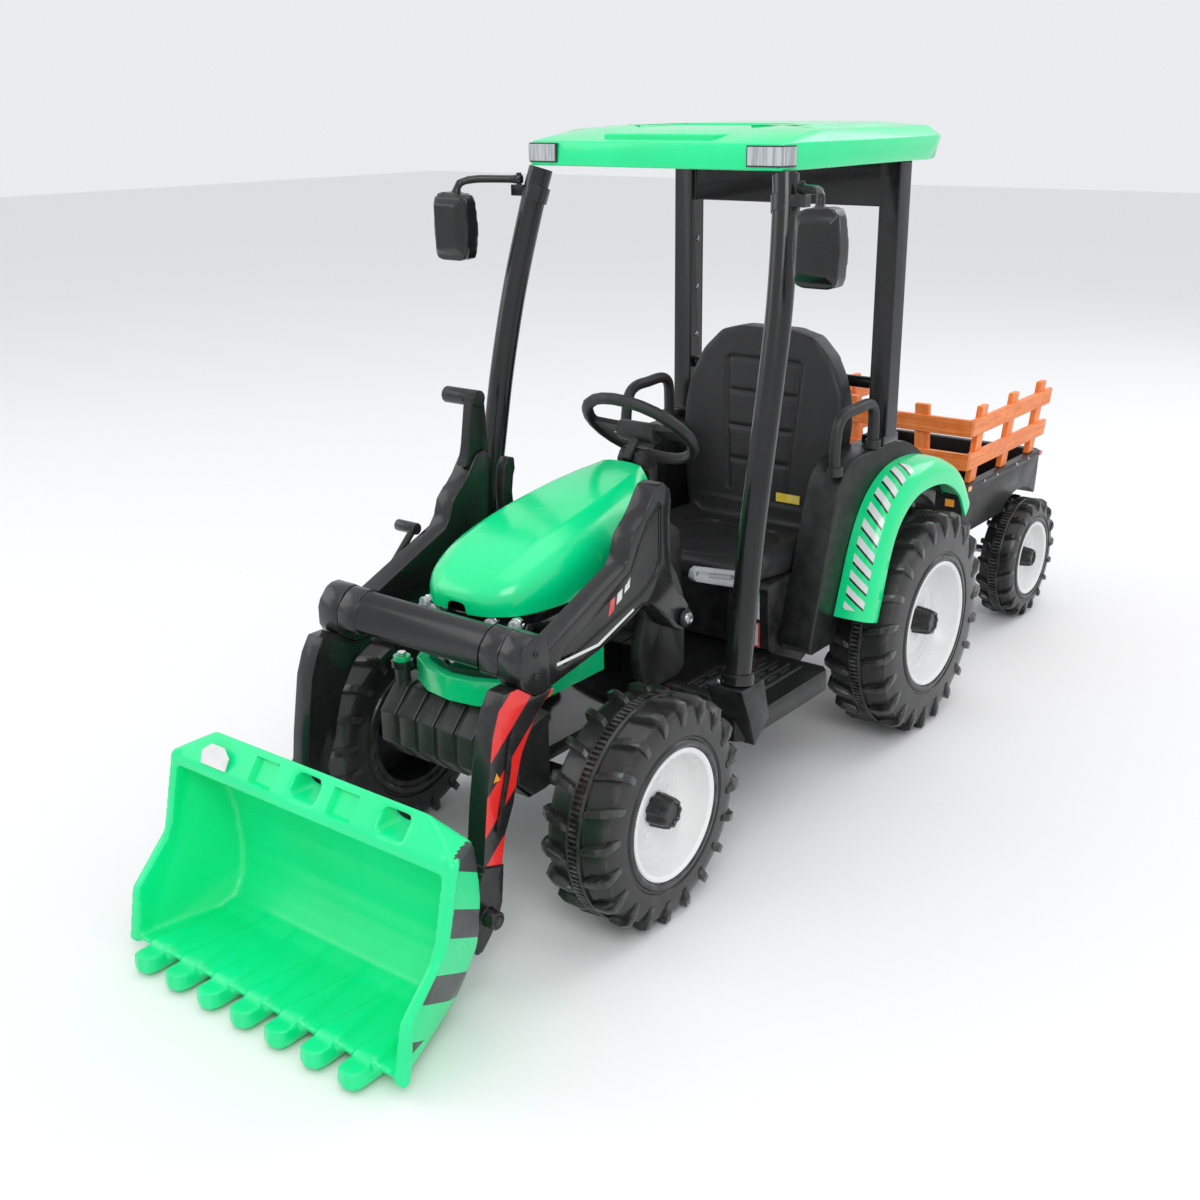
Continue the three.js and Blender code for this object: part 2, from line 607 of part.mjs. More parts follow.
// Housing on a bent arm; the arm's eye turns on the post clamp's pin.
function mirrorBody() {
  const eye = rod([240, 330, 904 + GAP], [240, 330, 918], 7, 12);
  const arm = bentRod([[240, 328, 911.5], [262, 312, 912], [290, 284, 912], [302, 268, 908], [306, 261, 892], [306, 261, 880]], 6.5, 7, 8);
  const face = rounded([[-338, 796], [-280, 796], [-274, 840], [-280, 892], [-334, 896], [-342, 848]], 12, 2);
  const shell = prism('y', face, 248, 276);
  const cap = hull([[286, 240, 816], [330, 240, 812], [332, 240, 878], [288, 240, 876], [276, 252, 800], [340, 252, 800],
    [340, 252, 890], [276, 252, 890]]);
  const hole = rod([240, 330, 890], [240, 330, 930], 4 + RUN, 12);
  return union([eye, arm, shell, cap]).subtract(hole);
}

function handrail() {
  const bar = bentRod([[196, 540, 480], [196, 538, 520], [196, 546, 556], [196, 566, 569], [196, 600, 571],
    [196, 640, 572], [196, 660, 560], [196, 664, 530], [196, 664, 490]], 8.5, 7, 14);
  const feet = [[548, 494], [664, 500]].map(([y, z]) => rod([190, y, z], [190, y, z + 8], 13, 14));
  const seatCut = prism('x', rounded([[464, 200], [490, 290], [522, 400], [545, 468.3], [563, 486.3], [600, 497.3],
    [745, 497.3], [745, 200]], 14), 120, 240);
  return union([bar, ...feet.map((f) => f.translate([6, 0, 0]))]).subtract(seatCut);
}

placePair('front_post', frontPost(), BLACK);
place('rear_cab_frame', rearCabFrame(), BLACK);
place('roof', roof(), GREEN, 0.3);
placePair('mirror', mirrorBody(), 0x111213, 0.3);
placePair('handrail', handrail(), BLACK, 0.6);

// ---------- driving controls ----------
const SHAFT = [0, Math.sin(WHEEL_CENTRE.tilt), Math.cos(WHEEL_CENTRE.tilt)];
function alongShaft(distance) {
  return [0, WHEEL_CENTRE.y + SHAFT[1] * distance, WHEEL_CENTRE.z + SHAFT[2] * distance];
}

function dashColumn() {
  const base = prism('x', rounded([[199 + GAP, DECK_TOP + GAP], [338, DECK_TOP + GAP], [334, 330], [330, 420],
    [268, 460], [268, 380], [199 + GAP, 380]], 8), -58, 58);
  const stalk = prism('x', rounded([[270, 400], [318, 400], [324, 520], [296, 548], [276, 536]], 7), -20, 20);
  const panel = hull([[-52, 268, 440], [52, 268, 440], [-40, 272, 520], [40, 272, 520], [-52, 284, 440], [52, 284, 440],
    [-40, 282, 522], [40, 282, 522]]);
  const hole = rod(alongShaft(-90), alongShaft(20), 7 + RUN, 18);
  const face = rod(alongShaft(-21), alongShaft(60), 60, 20);
  return union([base, stalk, panel]).subtract(hole).subtract(face);
}

function steeringWheel() {
  const ring = new THREE.TorusGeometry(WHEEL_CENTRE.radius, 9, 7, 24);
  ring.rotateX(-WHEEL_CENTRE.tilt);
  ring.translate(0, WHEEL_CENTRE.y, WHEEL_CENTRE.z);
  const hub = rod([-32, WHEEL_CENTRE.y - 2, WHEEL_CENTRE.z - 3], [32, WHEEL_CENTRE.y - 2, WHEEL_CENTRE.z - 3], 15, 16);
  const spokes = [-1, 1].map((s) => {
    const out = s * WHEEL_CENTRE.radius;
    const up = SHAFT[2];
    const back = SHAFT[1];
    const corner = (x, across, deep) => [x, WHEEL_CENTRE.y + across * up + deep * back,
      WHEEL_CENTRE.z - across * back + deep * up];
    return hull([corner(s * 26, -11, -4), corner(s * 26, 11, -4), corner(s * 26, -11, 4), corner(s * 26, 11, 4),
      corner(out, -15, -4), corner(out, 15, -4), corner(out, -15, 4), corner(out, 15, 4)]);
  });
  const shaft = rod(alongShaft(-52), alongShaft(0), 7, 12);
  return union([solid(ring), hub, ...spokes, shaft]);
}

function footPedal() {
  const plate = hull([[-140, 262, 252], [-96, 262, 252], [-140, 268, 252], [-96, 268, 252],
    [-140, 306, 214], [-96, 306, 214], [-140, 312, 214], [-96, 312, 214]]);
  return plate.add(rod([-150, 309, 216], [-86, 309, 216], 5, 12));
}

// A slotted flat lever that swings on the deck bracket's pin.
function gearLever() {
  const side = [[252, 386], [262, 394], [396, 350], [404, 338], [398, 327], [386, 326], [254, 374]];
  const bar = prism('x', rounded(side, 6), 122 + GAP, 133);
  const slot = prism('x', rounded([[290, 370], [292, 376], [362, 353], [360, 347]], 2, 1), 129, 140);
  const hole = rod([110, 393, 338], [150, 393, 338], 5 + RUN, 14);
  const eye = rod([110, 262, 383.5], [150, 262, 383.5], 3, 10);
  return bar.subtract(slot).subtract(hole).subtract(eye);
}

place('dash_column', dashColumn(), BLACK);
place('steering_wheel', steeringWheel(), 0x161718, 0.5);
place('foot_pedal', footPedal(), BLACK);
place('gear_lever', gearLever(), 0xc9ccd0, 0.35, 0.4);

// ---------- loader ----------
function loaderBracket() {
  const side = [[130, 248], [222, 248], [222, 360], [198, 410], [164, 446], [158, 500], [170, 528], [160, 544],
    [146, 534], [140, 500], [142, 446], [130, 380], [110, 300]];
  const plate = prism('x', rounded(side, 12), 122, BOOM_INNER - GAP);
  const stay = box(78 + GAP, 124, 152, 196, 252, 300);
  const pin = rod([130, LIFT_PIVOT.y, LIFT_PIVOT.z], [BOOM_OUTER + 2, LIFT_PIVOT.y, LIFT_PIVOT.z], 8, 14);
  const head = rod([BOOM_OUTER + GAP, LIFT_PIVOT.y, LIFT_PIVOT.z], [BOOM_OUTER + 6, LIFT_PIVOT.y, LIFT_PIVOT.z], 13, 12);
  return union([plate, stay, pin, head]);
}

const BOOM_SIDE = [[-125, 346], [-125, 395], [-119, 397], [43, 462], [46, 484], [57, 503], [80, 516], [92, 536],
  [112, 558], [130, 549], [142, 533], [136, 512], [138, 440], [150, 400], [178, 378], [190, 352], [174, 333],
  [155, 338], [128, 366], [84, 400], [60, 389], [-10, 366]];
const CAP_SIDE = [[-176, 367], [-176, 402], [-156, 424], [-132, 424], [-122, 402], [-122, 346], [-146, 346]];

// Hump-backed side arm with a pivot hole and the end block of the cross tube.
function boom() {
  const side = prism('x', rounded(BOOM_SIDE, 10), BOOM_INNER, BOOM_OUTER);
  const cap = prism('x', rounded(CAP_SIDE, 6), BOOM_INNER, CAP_OUTER);
  const hole = rod([130, LIFT_PIVOT.y, LIFT_PIVOT.z], [190, LIFT_PIVOT.y, LIFT_PIVOT.z], 8 + RUN, 14);
  const pocket = prism('x', rounded([[-96, 366], [-96, 384], [50, 440], [80, 500], [118, 530], [118, 440], [84, 416]], 10),
    BOOM_OUTER - 4, BOOM_OUTER + 1);
  return side.add(cap).subtract(hole).subtract(pocket);
}

// Square tube with rounded corners and a raised band at each end.
function crossTube() {
  const section = (grow) => rounded([[-174 - grow, 371 - grow], [-174 - grow, 402], [-154, 421 + grow], [-134, 421 + grow],
    [-124 + grow, 402], [-124 + grow, 371 - grow]], 6);
  const bar = prism('x', section(0), GAP - BOOM_INNER, BOOM_INNER - GAP);
  const bands = [-1, 1].map((s) => prism('x', section(2.5), s > 0 ? 107 : GAP - BOOM_INNER, s > 0 ? BOOM_INNER - GAP : -107));
  return union([bar, ...bands]);
}

// Curved leg that hangs from the end block and ends in a fork round the bucket's ear.
function leg() {
  const side = [[-177, 366], [-200, 366], [-213, 346], [-224, 318], [-230, 284], [-238, 240], [-250, 146], [-217, 140],
    [-207, 187], [-190, 222], [-182, 254], [-172, 282], [-150, 314], [-128, 333], [-110, 340], [-110, 345.7],
    [-146, 345.7], [-176.3, 366]];
  const bar = prism('x', outline(side), 142, BOOM_OUTER);
  const cheekSide = rounded([[-270, 120], [-250, 160], [-214, 148], [-220, 92], [-238, 66], [-262, 44], [-272, 52]], 8);
  const cheeks = [[142, 149], [166, 173]].map(([x0, x1]) => prism('x', cheekSide, x0, x1));
  const yoke = prism('x', outline([[-252, 138], [-250, 160], [-214, 148], [-217, 134]]), 142, 173);
  const pin = rod([144, BUCKET_PIVOT.y, BUCKET_PIVOT.z], [192, BUCKET_PIVOT.y, BUCKET_PIVOT.z], 7, 12);
  const knob = rod([172, BUCKET_PIVOT.y, BUCKET_PIVOT.z], [190, BUCKET_PIVOT.y, BUCKET_PIVOT.z], 12, 12);
  return union([bar, ...cheeks, yoke, pin, knob]);
}

// Raises the loader by hand: an arm standing on the right boom with a cross grip.
function liftLever() {
  const arm = prism('x', rounded([[70, 500], [92, 560], [104, 634], [128, 634], [136, 540], [136, 500]], 5), -159, -143);
  const grip = rod([-140, 116, 628], [-203, 116, 628], 12, 12);
  const seatOnBoom = prism('x', rounded(BOOM_SIDE, 10), -190, -120).translate([0, 0, GAP]);
  const below = box(-200, -100, 40, 160, 380, 535);
  const above = box(-220, -130, 60, 160, 536, 700);
  return union([arm, grip]).intersect(above).subtract(seatOnBoom).subtract(below);
}

// Bent steel rod: grip, slanting run beside the boom, and an open eye behind the bucket.
const TILT_ROD = { x: -185, eye: { y: -279.4, z: 115.6 }, bend: { y: -144.4, z: 300 }, top: { y: 18, z: 455 } };
function tiltRod() {
  const { x, eye, bend, top } = TILT_ROD;
  const lower = rod([x, eye.y + 7, eye.z + 9.6], [x, bend.y, bend.z], 5.5, 10);
  const upper = rod([x, bend.y, bend.z], [x, top.y, top.z], 5.5, 10);
  const knee = rod([x - 5.5, bend.y, bend.z], [x + 5.5, bend.y, bend.z], 6, 10);
  const grip = rod([x + 7, top.y, top.z], [x - 31, top.y, top.z], 8.5, 12);
  const ringBody = rod([x - 5, eye.y, eye.z], [x + 5, eye.y, eye.z], 14, 14);
  const hole = rod([x - 9, eye.y, eye.z], [x + 9, eye.y, eye.z], 10.2, 12);
  return union([lower, upper, knee, grip, ringBody]).subtract(hole);
}

// Scoop with a thick front border, a set-in tapered body, seven tooth tongues and rear ears.
function bucket() {
  const outerSide = [[-470, 14], [-350, 16], [-322, 34], [-303, 78], [-302, 168], [-318, 232], [-350, 284], [-362, 286],
    [-376, 248], [-400, 144], [-457, 84]];
  const innerSide = [[-520, 24], [-352, 27], [-328, 46], [-312, 84], [-311, 162], [-326, 206], [-398, 238], [-430, 160],
    [-520, 120]];
  const inset = (grow) => hull([-1, 1].flatMap((s) => [
    [238, -340, 290], [238, -356, 256], [238, -386, 150], [238, -448, 84], [238, -520, 60], [238, -520, 14],
    [232, -456, 14], [207, -290, 300], [207, -290, 112], [207, -322, 72], [207, -366, 42], [190, -300, 60],
    [190, -322, 30], [196, -366, 14],
  ].map(([x, y, z]) => [s * (x - grow), y, z - (z === 14 ? 2 : 0)])));
  const body = prism('x', rounded(outerSide, 10), -BUCKET_HALF, BUCKET_HALF).intersect(inset(0));
  const borderSide = [[-470, 14], [-456, 14], [-445, 87], [-387, 147], [-362, 250], [-350, 286], [-362, 286],
    [-376, 248], [-400, 144], [-457, 84]];
  const borders = [-1, 1].map((s) => prism('x', outline(borderSide), s > 0 ? 230 : -BUCKET_HALF, s > 0 ? BUCKET_HALF : -230));
  const room = prism('x', rounded(innerSide, 14), -BUCKET_HALF, BUCKET_HALF).intersect(inset(8));
  const chamfers = [-1, 1].map((s) => prism('y', outline([[s * 262, 236], [s * 158, 292], [s * 262, 292]]), -420, -280));
  const teeth = [];
  for (let i = 0; i < TOOTH_COUNT; i += 1) {
    const x = (i - (TOOTH_COUNT - 1) / 2) * TOOTH_PITCH;
    const tongue = rounded([[x - 18, -440], [x - 18, TRAIN_FRONT], [x + 18, TRAIN_FRONT], [x + 18, -440]], 17, 2);
    teeth.push(prism('z', tongue, 6, 20));
  }
  const windows = [-4, 142].map((x) => box(x - 21, x + 21, -420, -300, 246, 270));
  const ears = [-1, 1].map((s) => prism('x', rounded([[-306, 150], [-306, 60], [-254, 74], [-232, 84], [-232, 104],
    [-254, 112]], 8), s > 0 ? 149 + RUN : RUN - 166, s > 0 ? 166 - RUN : -149 - RUN));
  const tiltEar = prism('x', rounded([[-306, 146], [-306, 86], [-279, 106], [-271, 115], [-277, 124]], 4),
    -179, -173 - RUN);
  const tiltPin = rod([-174, TILT_ROD.eye.y, TILT_ROD.eye.z], [-191, TILT_ROD.eye.y, TILT_ROD.eye.z], 4, 10);
  const pivot = rod([-190, BUCKET_PIVOT.y, BUCKET_PIVOT.z], [190, BUCKET_PIVOT.y, BUCKET_PIVOT.z], 7 + RUN, 12);
  const scoop = body.subtract(room).add(union(borders));
  return union([scoop, ...teeth, ...ears]).subtract(union([...chamfers, ...windows])).subtract(pivot)
    .add(tiltEar).add(tiltPin);
}

placePair('loader_bracket', loaderBracket(), BLACK);
placePair('boom', boom(), BLACK, 0.35);
place('cross_tube', crossTube(), BLACK, 0.4);
placePair('leg', leg(), BLACK, 0.35);
place('lift_lever', liftLever(), BLACK);
place('tilt_rod', tiltRod(), STEEL, 0.3, 0.8);
place('bucket', bucket(), GREEN, 0.3);

// ---------- trailer ----------
function trailerTub() {
  const { half, front, floor, rim: top } = TUB;
  const side = prism('x', rounded([[front + 8, floor], [TRAIN_REAR - 14, floor], [TRAIN_REAR - 6, 300], [TRAIN_REAR - 6, top],
    [front, top], [front, 290]], 8), -half, half);
  const flange = prism('z', rounded([[-half - 5, front - 4], [half + 5, front - 4], [half + 5, TRAIN_REAR], [-half - 5, TRAIN_REAR]],
    14), top - 12, top);
  const deep = box(-118, 118, front + 14, TRAIN_REAR - 18, floor + 8, top + 1);
  const wide = box(-half + 14, half - 14, front + 14, TRAIN_REAR - 18, 284, top + 1);
  const arches = [-1, 1].map((s) => rod([s * 124, TRAILER_WHEEL.y, TRAILER_Z], [s * 190, TRAILER_WHEEL.y, TRAILER_Z], 142, 36));
  return side.add(flange).subtract(union([deep, wide, ...arches]));
}

// Two rails round three sides, on posts that lean outwards a little.
function trailerFence() {
  const { half, front, rim: top } = TUB;
  const foot = top + GAP;
  const lean = (z) => (z - foot) * 0.1;
  const rail = (z0, z1) => {
    const ring = (z, grow) => [[-half - grow, front - grow + 4], [half + grow, front - grow + 4],
      [half + grow, TRAIN_REAR], [-half - grow, TRAIN_REAR]].map(([x, y]) => [x, y, z]);
    const outer = hull([...ring(z0, lean(z0)), ...ring(z1, lean(z1))]);
    const inner = hull([...ring(z0 - 1, lean(z0) - 9), ...ring(z1 + 1, lean(z1) - 9)].map(([x, y, z]) => [x, y > 1300 ? y + 9 : y, z]));
    return outer.subtract(inner);
  };
  const parts = [rail(361, 394), rail(427, 460)];
  const post = (x0, y0, dx, dy) => {
    const leanBy = lean(480);
    const corners = [];
    for (const [z, shift] of [[foot, 0], [480, leanBy]]) {
      for (const a of [-14, 14]) {
        for (const b of [-16, -6]) {
          const x = x0 + dx * (b + shift + 1) + dy * a;
          const y = y0 + dy * (b + shift + 1) + dx * a;
          corners.push([x, y, z]);
        }
      }
    }
    return hull(corners);
  };
  for (const s of [-1, 1]) {
    for (const y of [1160, 1310, 1452]) parts.push(post(s * half, y, s, 0));
    parts.push(post(s * 74, front + 4, 0, -1));
  }
  return union(parts);
}

// Eye at the tractor, a long beam below the tub and a cross pad over the axle.
function drawbar() {
  const eye = prism('z', rounded([[-16, HITCH_Y - 16], [16, HITCH_Y - 16], [16, HITCH_Y + 80], [-16, HITCH_Y + 80]], 12, 3),
    160.5, 172);
  const pin = rod([0, HITCH_Y, 138], [0, HITCH_Y, 162], 6.8, 16);
  const beam = prism('x', rounded([[HITCH_Y + 50, 161], [1110, 150], [1440, 150], [1440, 176], [1140, 178], [1130, 234.6],
    [1116, 234.6], [1096, 178], [HITCH_Y + 50, 178]], 5), -17, 17);
  const pads = [1126, 1400].map((y) => box(-60, 60, y - 12, y + 12, 212, 235 - GAP));
  const uprights = box(-17, 17, 1388, 1412, 170, 220);
  const bore = rod([-40, TRAILER_WHEEL.y, TRAILER_Z], [40, TRAILER_WHEEL.y, TRAILER_Z], AXLE_R + GAP, 20);
  const clamp = box(-16, 16, 1385, 1415, 112, 152);
  return union([eye, pin, beam, ...pads, uprights, clamp]).subtract(bore);
}

function trailerAxle() {
  const reach = TRAILER_WHEEL.x + 25;
  const shaft = rod([-reach, TRAILER_WHEEL.y, TRAILER_Z], [reach, TRAILER_WHEEL.y, TRAILER_Z], AXLE_R, 16);
  const ends = [-1, 1].map((s) => rod([s * (reach - 1), TRAILER_WHEEL.y, TRAILER_Z],
    [s * (reach + 8), TRAILER_WHEEL.y, TRAILER_Z], 13, 6));
  return union([shaft, ...ends]);
}

place('trailer_tub', trailerTub(), BLACK, 0.55);
place('trailer_fence', trailerFence(), ORANGE, 0.5);
place('drawbar', drawbar(), BLACK, 0.5);
place('trailer_axle', trailerAxle(), STEEL, 0.4, 0.7);

export default tractor;
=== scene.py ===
"""Ride-on toy tractor with a front loader, a canopy roof and a slatted trailer: its visible pieces.

Sizes are millimetres laid out from the front axle, as the tractor was drawn. The function at() turns such a
place into metres in the shared frame. The nose points to -Y, the driver's left hand is +X and up is +Z.
"""

import logging
import math
from collections.abc import Callable, Iterable, Sequence
from dataclasses import dataclass
from enum import Enum

import bmesh
import bpy
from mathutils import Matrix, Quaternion, Vector


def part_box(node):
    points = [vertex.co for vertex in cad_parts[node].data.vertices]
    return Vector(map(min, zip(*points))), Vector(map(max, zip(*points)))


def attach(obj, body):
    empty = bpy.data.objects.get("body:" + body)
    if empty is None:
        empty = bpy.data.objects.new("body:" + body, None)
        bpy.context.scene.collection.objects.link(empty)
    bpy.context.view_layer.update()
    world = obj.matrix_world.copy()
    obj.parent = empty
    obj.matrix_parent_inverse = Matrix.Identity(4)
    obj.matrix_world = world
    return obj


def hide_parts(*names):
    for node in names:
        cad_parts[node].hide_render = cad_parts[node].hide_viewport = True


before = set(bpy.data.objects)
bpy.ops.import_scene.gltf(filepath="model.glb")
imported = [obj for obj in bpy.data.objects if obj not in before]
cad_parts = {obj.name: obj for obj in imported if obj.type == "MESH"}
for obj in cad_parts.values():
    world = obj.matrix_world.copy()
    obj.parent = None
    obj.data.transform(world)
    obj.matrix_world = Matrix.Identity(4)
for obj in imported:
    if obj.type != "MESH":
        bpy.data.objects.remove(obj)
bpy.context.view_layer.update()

MM = 0.001
ORIGIN_Y_MM = 511.8          # the frame's origin lies this far behind the front axle
LOG = logging.getLogger("tractor")
Point = tuple[float, float, float]
Outline = Sequence[tuple[float, float]]
Colour = tuple[float, float, float]


def at(x: float, y: float, z: float) -> Vector:
    """A place in metres in the shared frame, from millimetres laid out from the front axle."""
    return Vector((x * MM, (y - ORIGIN_Y_MM) * MM, z * MM))


class Side(Enum):
    """The two sides of the tractor, seen by its driver."""

    LEFT = 1
    RIGHT = -1

    @property
    def word(self) -> str:
        """The side's name as the piece names spell it."""
        return self.name.lower()


class Axis(Enum):
    """The direction that an outline is drawn out along."""

    X = 0
    Y = 1
    Z = 2


def show(obj: bpy.types.Object) -> bpy.types.Object:
    """Puts an object in the scene."""
    bpy.context.scene.collection.objects.link(obj)
    return obj


def add_node(tree: bpy.types.NodeTree, kind: str, **values: object) -> bpy.types.Node:
    """Adds a node and links or sets its inputs; an underscore in a label stands for a space."""
    made = tree.nodes.new(kind)
    for label, value in values.items():
        socket = made.inputs[label.replace("_", " ")]
        if isinstance(value, bpy.types.NodeSocket):
            tree.links.new(value, socket)
        else:
            socket.default_value = value
    return made


# ---------------------------------------------------------------- finishes


class ShaderBook:
    """A material under construction, with short calls for the nodes that the finishes share."""

    def __init__(self, name: str) -> None:
        """Starts an empty material.

        Args:
            name: the material's name.
        """
        self.material = bpy.data.materials.new(name)
        self.material.use_nodes = True
        self.tree = self.material.node_tree
        self.shader = self.tree.nodes["Principled BSDF"]
        self.place = self.tree.nodes.new("ShaderNodeTexCoord").outputs["Object"]

    def node(self, kind: str, **values: object) -> bpy.types.Node:
        """Adds a node with its inputs linked or set."""
        return add_node(self.tree, kind, **values)

    def stretched(self, scale: Point) -> bpy.types.NodeSocket:
        """Object coordinates stretched along the axes, for a pattern with a direction."""
        return self.node("ShaderNodeMapping", Vector=self.place, Scale=scale).outputs["Vector"]

    def noise(self, scale: float, detail: float = 4,
              vector: bpy.types.NodeSocket | None = None) -> bpy.types.NodeSocket:
        """A cloudy pattern with about this many clouds in a metre."""
        made = self.node("ShaderNodeTexNoise", Vector=vector or self.place, Scale=scale, Detail=detail)
        return made.outputs["Fac"]

    def cells(self, scale: float) -> bpy.types.NodeSocket:
        """A pebbled pattern, as on moulded leather grain."""
        return self.node("ShaderNodeTexVoronoi", Vector=self.place, Scale=scale).outputs["Distance"]

    def spread(self, value: bpy.types.NodeSocket, low: float, high: float, to_low: float,
               to_high: float) -> bpy.types.NodeSocket:
        """Maps a value from one range to another and holds it there."""
        made = self.node("ShaderNodeMapRange", Value=value, From_Min=low, From_Max=high, To_Min=to_low,
                         To_Max=to_high)
        return made.outputs["Result"]

    def calc(self, operation: str, first: bpy.types.NodeSocket | float,
             second: bpy.types.NodeSocket | float = 0.0) -> bpy.types.NodeSocket:
        """One step of arithmetic on sockets or plain numbers."""
        node = self.tree.nodes.new("ShaderNodeMath")
        node.operation = operation
        for index, value in enumerate((first, second)):
            if isinstance(value, (int, float)):
                node.inputs[index].default_value = value
            else:
                self.tree.links.new(value, node.inputs[index])
        return node.outputs["Value"]

    def axes(self) -> tuple[bpy.types.NodeSocket, bpy.types.NodeSocket, bpy.types.NodeSocket]:
        """The object coordinates x, y and z as three values."""
        node = self.node("ShaderNodeSeparateXYZ", Vector=self.place)
        return node.outputs["X"], node.outputs["Y"], node.outputs["Z"]

    def mix(self, share: bpy.types.NodeSocket, first: bpy.types.NodeSocket | Colour,
            second: bpy.types.NodeSocket | Colour) -> bpy.types.NodeSocket:
        """Blends two colours by a share from 0 to 1."""
        node = self.tree.nodes.new("ShaderNodeMix")
        node.data_type = "RGBA"
        self.tree.links.new(share, node.inputs["Factor"])
        for socket, value in ((node.inputs[6], first), (node.inputs[7], second)):
            if isinstance(value, tuple):
                socket.default_value = (*value, 1)
            else:
                self.tree.links.new(value, socket)
        return node.outputs[2]

    def worn_edges(self) -> bpy.types.NodeSocket:
        """High on outward edges, where hands and toys rub the surface."""
        node = self.tree.nodes.new("ShaderNodeNewGeometry")
        edge = self.spread(node.outputs["Pointiness"], 0.52, 0.60, 0, 1)
        return self.calc("MULTIPLY", edge, self.spread(self.noise(60, 6), 0.38, 0.62, 0, 1))

    def relief(self, height: bpy.types.NodeSocket, depth: float) -> None:
        """Raises the surface by a height pattern, depth metres from its low to its high."""
        bump = self.node("ShaderNodeBump", Distance=depth, Strength=1.0, Height=height)
        self.tree.links.new(bump.outputs["Normal"], self.shader.inputs["Normal"])

    def feed(self, label: str, value: bpy.types.NodeSocket | float) -> None:
        """Sets one of the shader's sockets, by a plain number or a pattern."""
        if isinstance(value, (int, float)):
            self.shader.inputs[label].default_value = value
        else:
            self.tree.links.new(value, self.shader.inputs[label])


@dataclass(frozen=True)
class Moulded:
    """A moulded plastic: cloudy tone, fine skin grain, soft roughness patches and rubbed edges."""

    name: str
    tone: Colour
    second: Colour
    rubbed: Colour
    roughness: float = 0.35
    grain: float = 420.0
    grain_depth: float = 0.00008
    coat: float = 0.0
    metallic: float = 0.0
    specular: float = 0.5

    def colour(self, book: ShaderBook) -> bpy.types.NodeSocket:
        """The surface colour before the rubbed edges."""
        return book.mix(book.spread(book.noise(7, 5), 0.35, 0.65, 0, 1), self.tone, self.second)

    def height(self, book: ShaderBook) -> bpy.types.NodeSocket:
        """The skin's height pattern."""
        return book.noise(self.grain, 3)

    def build(self) -> bpy.types.Material:
        """Makes the material.

        Returns:
            The finished node material.
        """
        book = ShaderBook(self.name)
        colour = book.mix(book.calc("MULTIPLY", book.worn_edges(), 0.55), self.colour(book), self.rubbed)
        book.feed("Base Color", colour)
        glossy = max(0.04, self.roughness - 0.07)
        book.feed("Roughness", book.spread(book.noise(24, 6), 0.3, 0.7, glossy, self.roughness + 0.09))
        book.relief(self.height(book), self.grain_depth)
        book.feed("Coat Weight", self.coat)
        book.feed("Coat Roughness", 0.08)
        book.feed("Metallic", self.metallic)
        book.feed("Specular IOR Level", self.specular)
        return book.material


@dataclass(frozen=True)
class Pebbled(Moulded):
    """A plastic with a leather-like pebble grain, as on the seat and the hand grips."""

    def height(self, book: ShaderBook) -> bpy.types.NodeSocket:
        """Rounded pebbles instead of a fine noise."""
        return book.cells(self.grain)


@dataclass(frozen=True)
class WoodLook(Moulded):
    """A plastic board with moulded wood grain that runs along one axis."""

    along: Axis = Axis.Y

    def fibres(self, book: ShaderBook) -> bpy.types.NodeSocket:
        """Long wavy fibres along the board."""
        scale = [90.0, 90.0, 90.0]
        scale[self.along.value] = 7.0
        return book.noise(1.0, 7, book.stretched(tuple(scale)))

    def colour(self, book: ShaderBook) -> bpy.types.NodeSocket:
        """Darker fibres in the grooves of the grain."""
        return book.mix(book.spread(self.fibres(book), 0.4, 0.62, 0, 1), self.second, self.tone)

    def height(self, book: ShaderBook) -> bpy.types.NodeSocket:
        """The moulded fibres stand proud."""
        return book.spread(self.fibres(book), 0.42, 0.58, 0, 1)


@dataclass(frozen=True)
class Banded(Moulded):
    """A plastic with slanting bands of a printed film, repeated along a line in the YZ plane."""

    film: Colour = (0.012, 0.012, 0.013)
    slope: float = 0.6
    pitch: float = 0.074
    share: float = 0.5
    start: float = 0.0
    inside: float = 10.0

    def colour(self, book: ShaderBook) -> bpy.types.NodeSocket:
        """Bands of film over the plastic, only where the side lies further in than the thick border."""
        x, y, z = book.axes()
        run = book.calc("ADD", book.calc("MULTIPLY", y, self.slope), book.calc("ADD", z, self.start))
        phase = book.calc("FRACT", book.calc("DIVIDE", run, self.pitch))
        band = book.calc("LESS_THAN", phase, self.share)
        clear = book.calc("LESS_THAN", book.calc("ABSOLUTE", x), self.inside)
        return book.mix(book.calc("MULTIPLY", band, clear), super().colour(book), self.film)


